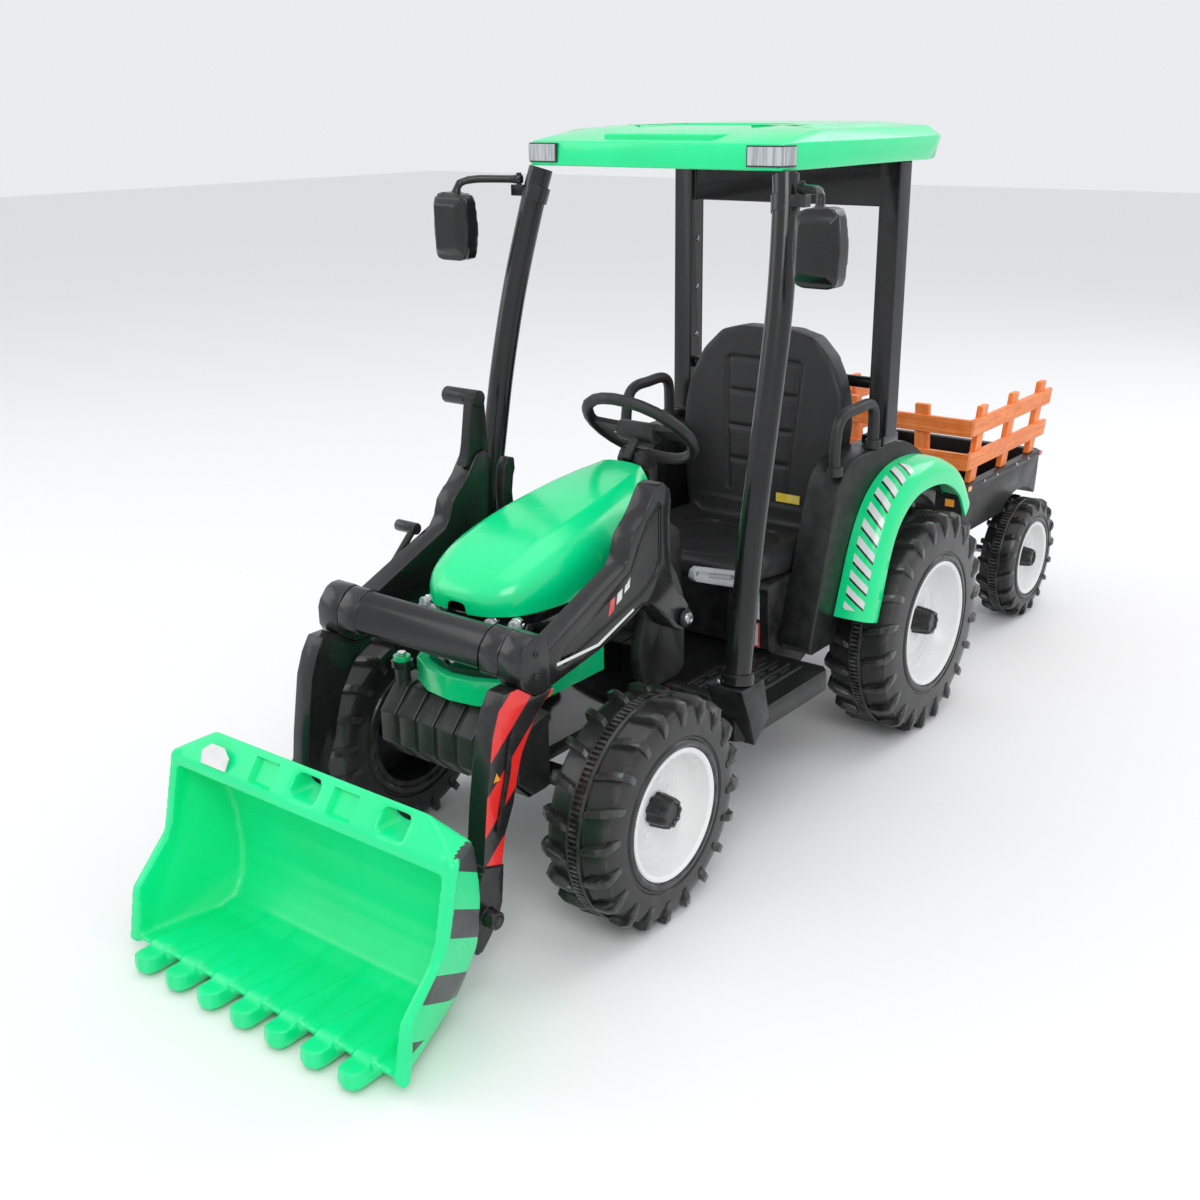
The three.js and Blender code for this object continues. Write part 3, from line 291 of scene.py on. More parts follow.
@dataclass(frozen=True)
class WheelArchFilm(Moulded):
    """Fender plastic with a printed film of slanting bars that follow the wheel's circle."""

    centre_y: float = (763 - ORIGIN_Y_MM) * MM
    centre_z: float = 0.189
    inner_x: float = 0.2
    bars_per_radian: float = 9.5
    slant_per_metre: float = 26.0
    arc: tuple[float, float] = (0.34, 1.40)
    strip: tuple[float, float] = (0.014, 0.046)

    def colour(self, book: ShaderBook) -> bpy.types.NodeSocket:
        """White bars on a dark shadow, between two angles round the wheel."""
        x, y, z = book.axes()
        rise = book.calc("SUBTRACT", z, self.centre_z)
        angle = book.calc("ARCTAN2", rise, book.calc("SUBTRACT", self.centre_y, y))
        side = book.calc("ABSOLUTE", x)
        along = book.calc("MULTIPLY", angle, self.bars_per_radian)
        slanted = book.calc("ADD", along, book.calc("MULTIPLY", side, self.slant_per_metre))
        bar = book.calc("LESS_THAN", book.calc("FRACT", slanted), 0.46)
        late = book.calc("LESS_THAN", book.calc("FRACT", book.calc("ADD", slanted, 0.16)), 0.62)
        after = book.calc("GREATER_THAN", angle, self.arc[0])
        before = book.calc("LESS_THAN", angle, self.arc[1])
        low = book.calc("GREATER_THAN", side, self.inner_x + self.strip[0])
        high = book.calc("LESS_THAN", side, self.inner_x + self.strip[1])
        within = book.calc("MULTIPLY", low, high)
        printed = book.calc("MULTIPLY", book.calc("MULTIPLY", after, before), within)
        shadow_share = book.calc("MULTIPLY", late, printed)
        shadow = book.mix(shadow_share, super().colour(book), (0.01, 0.012, 0.011))
        return book.mix(book.calc("MULTIPLY", bar, printed), shadow, (0.72, 0.75, 0.74))


@dataclass(frozen=True)
class Lens:
    """A clear lamp lens over a pale reflector."""

    name: str
    tone: Colour
    bright: Colour = (0.82, 0.84, 0.86)
    clearness: float = 0.0

    def build(self) -> bpy.types.Material:
        """Makes the lens material with fine vertical flutes.

        Returns:
            The finished node material.
        """
        book = ShaderBook(self.name)
        flutes = book.noise(1.0, 2, book.stretched((260, 260, 12)))
        book.feed("Base Color", book.mix(book.spread(flutes, 0.4, 0.6, 0, 1), self.tone, self.bright))
        book.feed("Roughness", 0.08)
        book.feed("Coat Weight", 1.0)
        book.feed("Coat Roughness", 0.03)
        book.feed("Transmission Weight", self.clearness)
        book.relief(flutes, 0.0002)
        return book.material


GREEN_PAINT = dict(tone=(0.0005, 0.74, 0.250), second=(0.0005, 0.80, 0.290), rubbed=(0.05, 0.74, 0.38))
GLOSSY_GREEN = dict(**GREEN_PAINT, roughness=0.22, grain=160, grain_depth=0.00006, coat=0.35)
SATIN_GREEN = dict(**GREEN_PAINT, roughness=0.33, grain=300, grain_depth=0.00009, coat=0.12)
BLACK_PAINT = dict(tone=(0.0070, 0.0072, 0.0074), second=(0.0115, 0.0118, 0.012), rubbed=(0.07, 0.07, 0.072),
                   specular=0.36)


class Finishes:
    """Every finish of the tractor, built once."""

    def __init__(self) -> None:
        """Builds the materials."""
        self.green = Moulded("spring_green_gloss", **GLOSSY_GREEN).build()
        self.scoop = Moulded("scoop_green_satin", **SATIN_GREEN).build()
        self.scoop_bands = Banded("scoop_side_bands", **SATIN_GREEN, film=(0.028, 0.032, 0.034), slope=0.62,
                                  pitch=0.088, share=0.44, start=0.046, inside=0.2388).build()
        self.arch = WheelArchFilm("fender_green_film", **GLOSSY_GREEN, inner_x=0.205).build()
        self.black = Moulded("black_body_plastic", **BLACK_PAINT, roughness=0.36, grain_depth=0.00009).build()
        self.arm = Moulded("black_arm_plastic", **BLACK_PAINT, roughness=0.24, grain=220, coat=0.25).build()
        self.leg_bands = Banded("leg_warning_bands", tone=(0.011, 0.011, 0.012), second=(0.016, 0.016, 0.017),
                                rubbed=(0.1, 0.1, 0.1), roughness=0.25, coat=0.3, film=(0.80, 0.022, 0.018),
                                slope=-0.8, pitch=0.082, share=0.56, start=0.02).build()
        self.gloss = Moulded("piano_black", tone=(0.004, 0.004, 0.005), second=(0.006, 0.006, 0.007),
                             rubbed=(0.03, 0.03, 0.03), roughness=0.10, grain=90, grain_depth=0.00003,
                             coat=0.8).build()
        self.tyre = Moulded("tyre_plastic", tone=(0.0125, 0.0125, 0.013), second=(0.021, 0.0205, 0.020),
                            rubbed=(0.15, 0.15, 0.15), specular=0.36, roughness=0.30, grain=330,
                            grain_depth=0.00012, coat=0.2).build()
        self.white = Moulded("white_rim_plastic", tone=(0.80, 0.80, 0.79), second=(0.74, 0.745, 0.745),
                             rubbed=(0.9, 0.9, 0.9), roughness=0.30, grain=210, coat=0.1).build()
        self.seat = Pebbled("black_seat_plastic", tone=(0.014, 0.0145, 0.015), second=(0.021, 0.021, 0.022),
                            rubbed=(0.06, 0.06, 0.06), roughness=0.47, grain=620, grain_depth=0.00022).build()
        self.grip = Pebbled("black_grip_plastic", tone=(0.012, 0.012, 0.0125), second=(0.018, 0.018, 0.018),
                            rubbed=(0.07, 0.07, 0.07), roughness=0.5, grain=520, grain_depth=0.0002).build()
        self.engine = Moulded("engine_dark_grey", tone=(0.022, 0.024, 0.023), second=(0.031, 0.033, 0.032),
                              rubbed=(0.11, 0.115, 0.11), roughness=0.36, grain=260).build()
        self.boards = {axis: WoodLook(f"orange_boards_{axis.name.lower()}", tone=(0.96, 0.265, 0.055),
                                      second=(0.84, 0.185, 0.030), rubbed=(0.98, 0.45, 0.18), roughness=0.42,
                                      grain_depth=0.0011, along=axis).build() for axis in Axis}
        self.steel = Moulded("brushed_steel", tone=(0.42, 0.43, 0.44), second=(0.33, 0.34, 0.35),
                             rubbed=(0.7, 0.7, 0.7), roughness=0.3, grain=700, metallic=1.0).build()
        self.chrome = Moulded("bright_chrome", tone=(0.82, 0.83, 0.84), second=(0.72, 0.73, 0.74),
                              rubbed=(0.9, 0.9, 0.9), roughness=0.08, grain=90, grain_depth=0.00002,
                              metallic=1.0).build()
        self.silver = Moulded("silver_grey_plastic", tone=(0.33, 0.34, 0.36), second=(0.27, 0.28, 0.30),
                              rubbed=(0.5, 0.5, 0.5), roughness=0.28, coat=0.3).build()
        self.glass = Moulded("mirror_glass", tone=(0.75, 0.78, 0.80), second=(0.70, 0.73, 0.76),
                             rubbed=(0.8, 0.8, 0.8), roughness=0.06, grain=20, grain_depth=0.00002,
                             metallic=1.0).build()
        self.paper = Moulded("white_label", tone=(0.78, 0.78, 0.76), second=(0.70, 0.70, 0.69),
                             rubbed=(0.85, 0.85, 0.85), roughness=0.4, grain=900).build()
        self.red = Moulded("red_film", tone=(0.72, 0.018, 0.016), second=(0.62, 0.014, 0.012),
                           rubbed=(0.8, 0.2, 0.2), roughness=0.28, coat=0.3).build()
        self.yellow = Moulded("yellow_label", tone=(0.86, 0.62, 0.02), second=(0.78, 0.55, 0.02),
                              rubbed=(0.9, 0.8, 0.3), roughness=0.35).build()
        self.amber = Moulded("amber_film", tone=(0.95, 0.36, 0.02), second=(0.86, 0.30, 0.02),
                             rubbed=(0.95, 0.6, 0.2), roughness=0.2, coat=0.6).build()
        self.lamp = Lens("roof_lamp_lens", tone=(0.30, 0.32, 0.34), bright=(0.52, 0.54, 0.56)).build()
        self.dome = Lens("lamp_dome_clear", tone=(0.55, 0.58, 0.60), clearness=0.25).build()


# ---------------------------------------------------------------- mesh work


def smooth_line(points: Sequence[Point], steps: int) -> list[Vector]:
    """A smooth curve through points.

    Args:
        points: the places that the curve passes.
        steps: how many short stretches lie between two of them.

    Returns:
        The points along the curve.
    """
    given = [Vector(p) for p in points]
    ends = [given[0] * 2 - given[1], *given, given[-1] * 2 - given[-2]]
    line: list[Vector] = []
    for before, start, end, after in zip(ends, ends[1:], ends[2:], ends[3:]):
        for step in range(steps):
            t = step / steps
            bend = (before * -1 + start * 3 - end * 3 + after) * t ** 3
            bow = (before * 2 - start * 5 + end * 4 - after) * t ** 2
            line.append((start * 2 + (end - before) * t + bow + bend) / 2)
    return [*line, given[-1]]


def join_rings(shape: bmesh.types.BMesh, sections: Sequence[Sequence[Vector]],
               closed: bool = False) -> list[bmesh.types.BMFace]:
    """Skins a row of closed sections with equal numbers of points.

    Args:
        shape: the mesh that the skin goes into.
        sections: the loops of points.
        closed: whether the last section joins the first, instead of both having a cap.

    Returns:
        The faces made.
    """
    rings = [[shape.verts.new(point) for point in section] for section in sections]
    pairs = list(zip(rings, rings[1:])) + ([(rings[-1], rings[0])] if closed else [])
    made = []
    for first, second in pairs:
        count = len(first)
        for i in range(count):
            k = (i + 1) % count
            made.append(shape.faces.new((first[i], first[k], second[k], second[i])))
    if not closed:
        made.append(shape.faces.new(rings[0][::-1]))
        made.append(shape.faces.new(rings[-1]))
    return made


def plain_mesh(holder: bpy.types.Object) -> bpy.types.Mesh:
    """The mesh that an object's modifiers give; the object is then removed."""
    made = bpy.data.meshes.new_from_object(holder.evaluated_get(bpy.context.evaluated_depsgraph_get()))
    bpy.data.objects.remove(holder)
    return made


class Piece:
    """One named piece: a mesh under construction, its finishes and the body that it moves with."""

    def __init__(self, name: str, body: str, slot: str, *finishes: bpy.types.Material) -> None:
        """Starts an empty piece.

        Args:
            name: the piece's name.
            body: the body that it rides on.
            slot: the material slot that it takes its finish from.
            finishes: its materials, the first for whatever isn't given another.
        """
        self.name = name
        self.body = body
        self.slot = slot
        self.finishes = finishes
        self.shape = bmesh.new()

    def take(self, node: str, finish: int = 0) -> "Piece":
        """Adds a copy of a CAD node with its loose triangles merged into flat faces."""
        copy = bmesh.new()
        copy.from_mesh(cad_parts[node].data)
        bmesh.ops.remove_doubles(copy, verts=copy.verts, dist=0.02 * MM)
        bmesh.ops.dissolve_limit(copy, angle_limit=math.radians(1.0), verts=copy.verts, edges=copy.edges)
        for face in copy.faces:
            face.material_index = finish
        self._pour(copy)
        return self

    def _pour(self, other: bmesh.types.BMesh) -> None:
        """Adds another mesh to this one and frees it."""
        mesh = bpy.data.meshes.new("part")
        other.to_mesh(mesh)
        other.free()
        self.shape.from_mesh(mesh)
        bpy.data.meshes.remove(mesh)

    def add_mesh(self, mesh: bpy.types.Mesh) -> "Piece":
        """Adds a ready mesh, which is then removed."""
        self.shape.from_mesh(mesh)
        bpy.data.meshes.remove(mesh)
        return self

    def skin(self, sections: Sequence[Sequence[Vector]], finish: int = 0, closed: bool = False) -> "Piece":
        """Adds a skin over a row of closed sections, with caps unless it is closed on itself."""
        for face in join_rings(self.shape, sections, closed):
            face.material_index = finish
        return self

    def prism(self, axis: Axis, outline: Outline, low: float, high: float, finish: int = 0) -> "Piece":
        """Draws an outline out along an axis, in millimetres.

        Args:
            axis: X takes (y, z) points, Y takes (x, z) points and Z takes (x, y) points.
            outline: the outline's points.
            low: where it starts along the axis.
            high: where it ends.
            finish: which finish the faces take.

        Returns:
            The piece itself.
        """
        place = {Axis.X: lambda a, b, c: at(c, a, b), Axis.Y: lambda a, b, c: at(a, c, b),
                 Axis.Z: lambda a, b, c: at(a, b, c)}[axis]
        return self.skin([[place(a, b, c) for a, b in outline] for c in (low, high)], finish)

    def turned(self, profile: Outline, centre: Vector, sign: float = 1, segments: int = 96, finish: int = 0,
               ripple: Callable[[float], float] | None = None) -> "Piece":
        """Turns a closed profile about an axis parallel to X.

        Args:
            profile: (radius, across) points in millimetres, closed on itself.
            centre: where the axis passes, in metres.
            sign: 1 if across counts towards +X, or -1.
            segments: how many steps there are round the axis.
            finish: which finish the faces take.
            ripple: a factor on the radius at an angle, for a lobed shape.

        Returns:
            The piece itself.
        """
        rings = []
        for step in range(segments):
            angle = 2 * math.pi * step / segments
            factor = ripple(angle) if ripple else 1
            rings.append([centre + Vector((sign * across, r * factor * math.cos(angle),
                                           r * factor * math.sin(angle))) * MM for r, across in profile])
        return self.skin(rings, finish, closed=True)

    def tube(self, line: Sequence[Vector], radius: float, sides: int = 24, finish: int = 0) -> "Piece":
        """Draws a round section along a line of points in metres; the radius is in millimetres."""
        sections = []
        across = Vector((0.31, 0.95, 0.05))
        for i, point in enumerate(line):
            ahead = line[min(i + 1, len(line) - 1)] - line[max(i - 1, 0)]
            ahead.normalize()
            across = (across - ahead * across.dot(ahead)).normalized()
            over = across.cross(ahead)
            sections.append([point + (across * math.cos(a) + over * math.sin(a)) * radius * MM
                             for a in (2 * math.pi * k / sides for k in range(sides))])
        return self.skin(sections, finish)

    def paint(self, finish: int, wanted: Callable[[bmesh.types.BMFace], bool]) -> "Piece":
        """Gives the faces that answer a question another finish."""
        for face in self.shape.faces:
            if wanted(face):
                face.material_index = finish
        return self

    def soften(self, voxel: float, rounds: int) -> "Piece":
        """Remakes the whole shape as one even skin and relaxes it, which rounds every edge and corner.

        Args:
            voxel: the size of the skin's cells in millimetres.
            rounds: how many times the skin is relaxed.

        Returns:
            The piece itself.
        """
        mesh = bpy.data.meshes.new("soft")
        self.shape.to_mesh(mesh)
        holder = show(bpy.data.objects.new("soft", mesh))
        remesh = holder.modifiers.new("skin", "REMESH")
        remesh.mode = "VOXEL"
        remesh.voxel_size = voxel * MM
        relax = holder.modifiers.new("relax", "SMOOTH")
        relax.iterations = rounds
        relax.factor = 0.5
        even = plain_mesh(holder)
        self.shape.free()
        self.shape = bmesh.new()
        self.shape.from_mesh(even)
        self.shape.normal_update()
        bpy.data.meshes.remove(even)
        return self

    def press(self, amount: Callable[[Vector, Vector], Vector]) -> "Piece":
        """Moves every point by a function of its place and normal, all worked out before any moves."""
        moves = [amount(vertex.co, vertex.normal) for vertex in self.shape.verts]
        for vertex, move in zip(self.shape.verts, moves):
            vertex.co += move
        return self

    def close(self, replaces: Iterable[str] = (), edge: float = 0.0, rows: int = 2) -> bpy.types.Object:
        """Finishes the piece: faces outwards, soft edges, finishes, and its ties to the frame.

        Args:
            replaces: the CAD nodes that it stands for.
            edge: the radius of its rounded edges in millimetres, or 0 for none.
            rows: how many rows of faces round an edge.

        Returns:
            The finished object.
        """
        bmesh.ops.recalc_face_normals(self.shape, faces=self.shape.faces)
        mesh = bpy.data.meshes.new(self.name)
        self.shape.to_mesh(mesh)
        self.shape.free()
        for finish in self.finishes:
            mesh.materials.append(finish)
        mesh.shade_smooth()
        obj = show(bpy.data.objects.new(self.name, mesh))
        if edge:
            bevel = obj.modifiers.new("edges", "BEVEL")
            bevel.width = edge * MM
            bevel.segments = rows
            bevel.limit_method = "ANGLE"
            bevel.angle_limit = math.radians(34)
            bevel.use_clamp_overlap = False
            bevel.harden_normals = True
        else:
            mesh.set_sharp_from_angle(angle=math.radians(38))
        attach(obj, self.body)
        if replaces:
            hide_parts(*replaces)
        LOG.info("%s rides on %s", self.name, self.body)
        return obj


def coat(node: str, body: str, slot: str, finish: bpy.types.Material, edge: float,
         rows: int = 2) -> bpy.types.Object:
    """A rounded copy of a CAD node with its finish, which stands for the node."""
    return Piece(f"{node}_skin", body, slot, finish).take(node).close([node], edge, rows)


# ---------------------------------------------------------------- repeated things


class NodeRepeater:
    """A Geometry Nodes tree that repeats a small item and gives back one plain mesh."""

    def __init__(self, name: str, sockets: dict[str, str]) -> None:
        """Starts the tree with its named inputs.

        Args:
            name: the tree's name.
            sockets: the inputs, from label to socket type.
        """
        self.tree = bpy.data.node_groups.new(name, "GeometryNodeTree")
        self.tree.interface.new_socket("Geometry", in_out="INPUT", socket_type="NodeSocketGeometry")
        for label, kind in sockets.items():
            self.tree.interface.new_socket(label, in_out="INPUT", socket_type=kind)
        self.tree.interface.new_socket("Geometry", in_out="OUTPUT", socket_type="NodeSocketGeometry")
        self.inputs = self.tree.nodes.new("NodeGroupInput").outputs
        self.build()

    def node(self, kind: str, **values: object) -> bpy.types.Node:
        """Adds a node with its inputs linked or set."""
        return add_node(self.tree, kind, **values)

    def finish(self, instances: bpy.types.NodeSocket) -> None:
        """Ends the tree: real geometry with its finish."""
        real = self.node("GeometryNodeRealizeInstances", Geometry=instances)
        painted = self.node("GeometryNodeSetMaterial", Geometry=real.outputs[0],
                            Material=self.inputs["Finish"])
        self.node("NodeGroupOutput", Geometry=painted.outputs[0])

    def build(self) -> None:
        """Lays out the nodes; each repeater has its own."""
        raise NotImplementedError

    def run(self, host: bpy.types.Mesh, **values: object) -> bpy.types.Mesh:
        """Runs the tree on a mesh.

        Args:
            host: the mesh that the tree starts from, which is then removed.
            values: the inputs' values by label.

        Returns:
            The repeated items as one plain mesh.
        """
        holder = show(bpy.data.objects.new("repeat", host))
        modifier = holder.modifiers.new("repeat", "NODES")
        modifier.node_group = self.tree
        for item in self.tree.interface.items_tree:
            if item.in_out == "INPUT" and item.name in values:
                modifier[item.identifier] = values[item.name]
        made = plain_mesh(holder)
        bpy.data.meshes.remove(host)
        return made


class RingRepeater(NodeRepeater):
    """Repeats an item round an axis parallel to X, as lugs round a tyre."""

    def __init__(self) -> None:
        """Names the ring's inputs."""
        super().__init__("ring_of_items", {"Item": "NodeSocketObject", "Count": "NodeSocketInt",
                                           "Start": "NodeSocketFloat", "Centre": "NodeSocketVector",
                                           "Finish": "NodeSocketMaterial"})

    def build(self) -> None:
        """Points at the axis, each turned one step further, then moved to the centre."""
        points = self.node("GeometryNodePoints", Count=self.inputs["Count"])
        step = self.tree.nodes.new("ShaderNodeMath")
        step.operation = "DIVIDE"
        step.inputs[0].default_value = 2 * math.pi
        self.tree.links.new(self.inputs["Count"], step.inputs[1])
        angle = self.tree.nodes.new("ShaderNodeMath")
        angle.operation = "MULTIPLY_ADD"
        self.tree.links.new(self.tree.nodes.new("GeometryNodeInputIndex").outputs[0], angle.inputs[0])
        self.tree.links.new(step.outputs[0], angle.inputs[1])
        self.tree.links.new(self.inputs["Start"], angle.inputs[2])
        euler = self.node("ShaderNodeCombineXYZ", X=angle.outputs[0])
        turn = self.node("FunctionNodeEulerToRotation", Euler=euler.outputs[0])
        item = self.node("GeometryNodeObjectInfo", Object=self.inputs["Item"])
        copies = self.node("GeometryNodeInstanceOnPoints", Points=points.outputs[0],
                           Instance=item.outputs["Geometry"], Rotation=turn.outputs[0])
        moved = self.node("GeometryNodeTransform", Geometry=copies.outputs[0],
                          Translation=self.inputs["Centre"])
        self.finish(moved.outputs[0])


class AimedRepeater(NodeRepeater):
    """Repeats an item at each point of a mesh, with its top turned along the point's aim."""

    def __init__(self) -> None:
        """Names the inputs."""
        super().__init__("aimed_items", {"Item": "NodeSocketObject", "Size": "NodeSocketFloat",
                                         "Finish": "NodeSocketMaterial"})

    def build(self) -> None:
        """Instances on the host's points, aligned to the stored aim."""
        aim = self.tree.nodes.new("GeometryNodeInputNamedAttribute")
        aim.data_type = "FLOAT_VECTOR"
        aim.inputs["Name"].default_value = "aim"
        turn = self.tree.nodes.new("FunctionNodeAlignRotationToVector")
        turn.axis = "Z"
        self.tree.links.new(aim.outputs["Attribute"], turn.inputs["Vector"])
        item = self.node("GeometryNodeObjectInfo", Object=self.inputs["Item"])
        size = self.inputs["Size"]
        scale = self.node("ShaderNodeCombineXYZ", X=size, Y=size, Z=size)
        copies = self.node("GeometryNodeInstanceOnPoints", Points=self.inputs["Geometry"],
                           Instance=item.outputs["Geometry"], Rotation=turn.outputs[0],
                           Scale=scale.outputs[0])
        self.finish(copies.outputs[0])


def item_object(name: str, sections: Sequence[Sequence[Vector]], edge: float = 0.0) -> bpy.types.Object:
    """A small closed item for a repeater, skinned over sections, with optional rounded edges."""
    shape = bmesh.new()
    join_rings(shape, sections)
    bmesh.ops.recalc_face_normals(shape, faces=shape.faces)
    if edge:
        bmesh.ops.bevel(shape, geom=shape.edges[:], offset=edge * MM, segments=2, affect="EDGES", profile=0.5,
                        clamp_overlap=True)
    mesh = bpy.data.meshes.new(name)
    shape.to_mesh(mesh)
    shape.free()
    mesh.shade_smooth()
    return show(bpy.data.objects.new(name, mesh))


class Fasteners:
    """Screws and bolts on one body, repeated by the aimed repeater."""

    def __init__(self, repeater: AimedRepeater, finishes: Finishes) -> None:
        """Makes the screw head: a low dome with a round recess."""
        self.repeater = repeater
        self.finishes = finishes
        rings = []
        for radius, height in ((1.0, -0.3), (1.0, 0.18), (0.82, 0.42), (0.5, 0.55), (0.34, 0.2)):
            rings.append([Vector((radius * math.cos(a), radius * math.sin(a), height)) * MM
                          for a in (2 * math.pi * k / 16 for k in range(16))])
        self.head = item_object("screw_head", rings)

    def fit(self, name: str, body: str, size: float, places: Sequence[tuple[Vector, Point]],
            bright: bool = True) -> bpy.types.Object:
        """Fits screws of one size on one body.

        Args:
            name: the piece's name.
            body: the body that they ride on.
            size: the head's radius in millimetres.
            places: where each head sits, in metres, and which way it points.
            bright: steel heads, or else black ones.

        Returns:
            The finished piece.
        """
        host = bpy.data.meshes.new("places")
        host.from_pydata([place for place, _ in places], [], [])
        aim = host.attributes.new("aim", "FLOAT_VECTOR", "POINT")
        aim.data.foreach_set("vector", [value for _, direction in places for value in direction])
        finish = self.finishes.steel if bright else self.finishes.grip
        mesh = self.repeater.run(host, Item=self.head, Size=size, Finish=finish)
        return Piece(name, body, "steel", finish).add_mesh(mesh).close()


# ---------------------------------------------------------------- wheels


@dataclass
class Wheel:
    """A hollow moulded tyre with slanting lugs on a dished rim, with a lobed cap.

    It stands on the ground, so the height of its axle is also its outer radius.
    """

    name: str
    bore: float
    half_width: float
    x: float
    y: float
    axle: float
    lugs: int
    finishes: Finishes
    ring: RingRepeater
    seam_teeth: int = 132
    lug_gap: float = 0.9

    def centre(self, side: Side) -> Vector:
        """The middle of the wheel on one side."""
        return at(side.value * self.x, self.y, self.axle)

    def axle_node(self, side: Side) -> str:
        """The node whose end passes through the hub and is hidden by the cap."""
        return {"front": f"knuckle_{side.word}", "rear": "rear_axle", "trailer": "trailer_axle"}[self.name]

    def lug(self, hand: float) -> bpy.types.Object:
        """One lug from the centre rib over the shoulder and down the sidewall.

        Args:
            hand: 1 for the half of the tread towards +X, or -1.

        Returns:
            The item to repeat.
        """
        w, r = self.half_width, self.axle - self.lug_gap
        thick = 0.27 * 2 * math.pi * r / self.lugs
        stations = [(9, r - 5, 9, r - 16, 0.10, 0.75), (0.32 * w, r - 0.6, 0.32 * w, r - 17, 0.42, 0.85),
                    (0.74 * w, r, 0.70 * w, r - 19, 0.9, 1.0),
                    (0.95 * w, r - 4.5, 0.80 * w, r - 24, 1.12, 1.0),
                    (1.01 * w, 0.885 * r, w - 9, 0.86 * r, 1.18, 0.95),
                    (0.985 * w, 0.775 * r, w - 9, 0.79 * r, 1.12, 0.8)]
        sections = []
        for top_x, top_r, base_x, base_r, slant, share in stations:
            shift = slant * thick
            half_top = thick * share * 0.40
            half_base = thick * share * 0.56
            sections.append([Vector((hand * x, shift + side, radius)) * MM for x, radius, side in (
                (top_x, top_r, -half_top), (top_x, top_r, half_top), (base_x, base_r, half_base),
                (base_x, base_r, -half_base))])
        return item_object("lug", sections, 1.3)

    def ring_on(self, piece: Piece, item: bpy.types.Object, count: int, start: float, centre: Vector) -> None:
        """Adds a ring of copies of an item to the tyre and removes the item."""
        piece.add_mesh(self.ring.run(bpy.data.meshes.new("none"), Item=item, Count=count, Start=start,
                                     Centre=centre, Finish=self.finishes.tyre))
        bpy.data.objects.remove(item)

    def tyre(self, side: Side) -> bpy.types.Object:
        """Casing, two staggered rows of lugs and the notched centre rib."""
        w, r = self.half_width, self.axle
        tread = r - 11
        half = [(self.bore, w - 13), (self.bore, w - 3), (self.bore + 3, w - 0.6), (self.bore + 8, w - 1.5),
                (self.bore + 10, w - 4), (self.bore + 13, w - 4), (self.bore + 15, w - 1.6),
                (0.80 * r, w - 2.2), (0.87 * r, w - 4.5), (tread - 3, 0.86 * w), (tread, 0.70 * w),
                (tread + 1.2, 15), (tread + 2.0, 12), (r - 5.2, 10.5), (r - 4.2, 8), (r - 4.2, 6.2),
                (r - 7, 5.6), (r - 7, 0)]
        profile = half + [(radius, -across) for radius, across in half[-2::-1]]
        profile += [(r - 30, 14 - w), (r - 30, w - 14)]
        piece = Piece(f"{self.name}_tyre_{side.word}_skin", f"{self.name}_wheel_{side.word}", "tyre",
                      self.finishes.tyre)
        centre = self.centre(side)
        piece.turned(profile, centre, segments=128)
        for hand, start in ((1, 0.0), (-1, math.pi / self.lugs)):
            self.ring_on(piece, self.lug(hand), self.lugs, start, centre)
        corners = ((-5.8, r - 8), (-5.8, r - 3.6), (5.8, r - 3.6), (5.8, r - 8))
        ends = [[Vector((x, t, radius)) * MM for x, radius in corners] for t in (-1.5, 1.5)]
        tooth = item_object("tooth", ends)
        self.ring_on(piece, tooth, self.seam_teeth, 0.0, centre)
        return piece.close([f"{self.name}_tyre_{side.word}"])

    def rim(self, side: Side) -> bpy.types.Object:
        """White dish towards the outside and a dark back towards the tractor."""
        w = self.half_width
        b = self.bore - 1.2
        outer = [(9, 0.34 * w), (27, 0.34 * w), (29, 0.30 * w), (34, 0.28 * w), (0.52 * b, 0.26 * w),
                 (0.56 * b, 0.29 * w), (0.60 * b, 0.29 * w), (0.64 * b, 0.25 * w), (b - 17, 0.30 * w),
                 (b - 12, 0.40 * w), (b - 9, w - 10), (b - 8, w - 4), (b - 5, w - 1.4), (b - 2, w - 1.2),
                 (b, w - 3), (b, 0), (b - 9, 0), (b - 12, 0.16 * w), (30, 0.14 * w), (9, 0.14 * w)]
        inner = [(9, 0.10 * w), (30, 0.10 * w), (b - 14, 0.12 * w), (b - 10, -0.2 * w), (b - 8, 4 - w),
                 (b, 4 - w), (b, -1), (b - 3, -1), (b - 5, 0.04 * w), (34, 0.03 * w), (26, -0.5 * w),
                 (9, -0.5 * w)]
        piece = Piece(f"{self.name}_rim_{side.word}_dish", f"{self.name}_wheel_{side.word}", "white_plastic",
                      self.finishes.white, self.finishes.black)
        centre = self.centre(side)
        piece.turned(outer, centre, side.value)
        piece.turned(inner, centre, side.value, finish=1)
        bosses = 8
        for k in range(bosses):
            angle = 2 * math.pi * (k + 0.5) / bosses
            radial = Vector((0, math.cos(angle), math.sin(angle)))
            start = centre + radial * 0.40 * b * MM + Vector((side.value * 0.24 * w * MM, 0, 0))
            end = start + Vector((side.value * 0.055 * w * MM, 0, 0))
            piece.tube([start, end], 0.055 * b, 16)
        return piece.close([f"{self.name}_rim_{side.word}"])

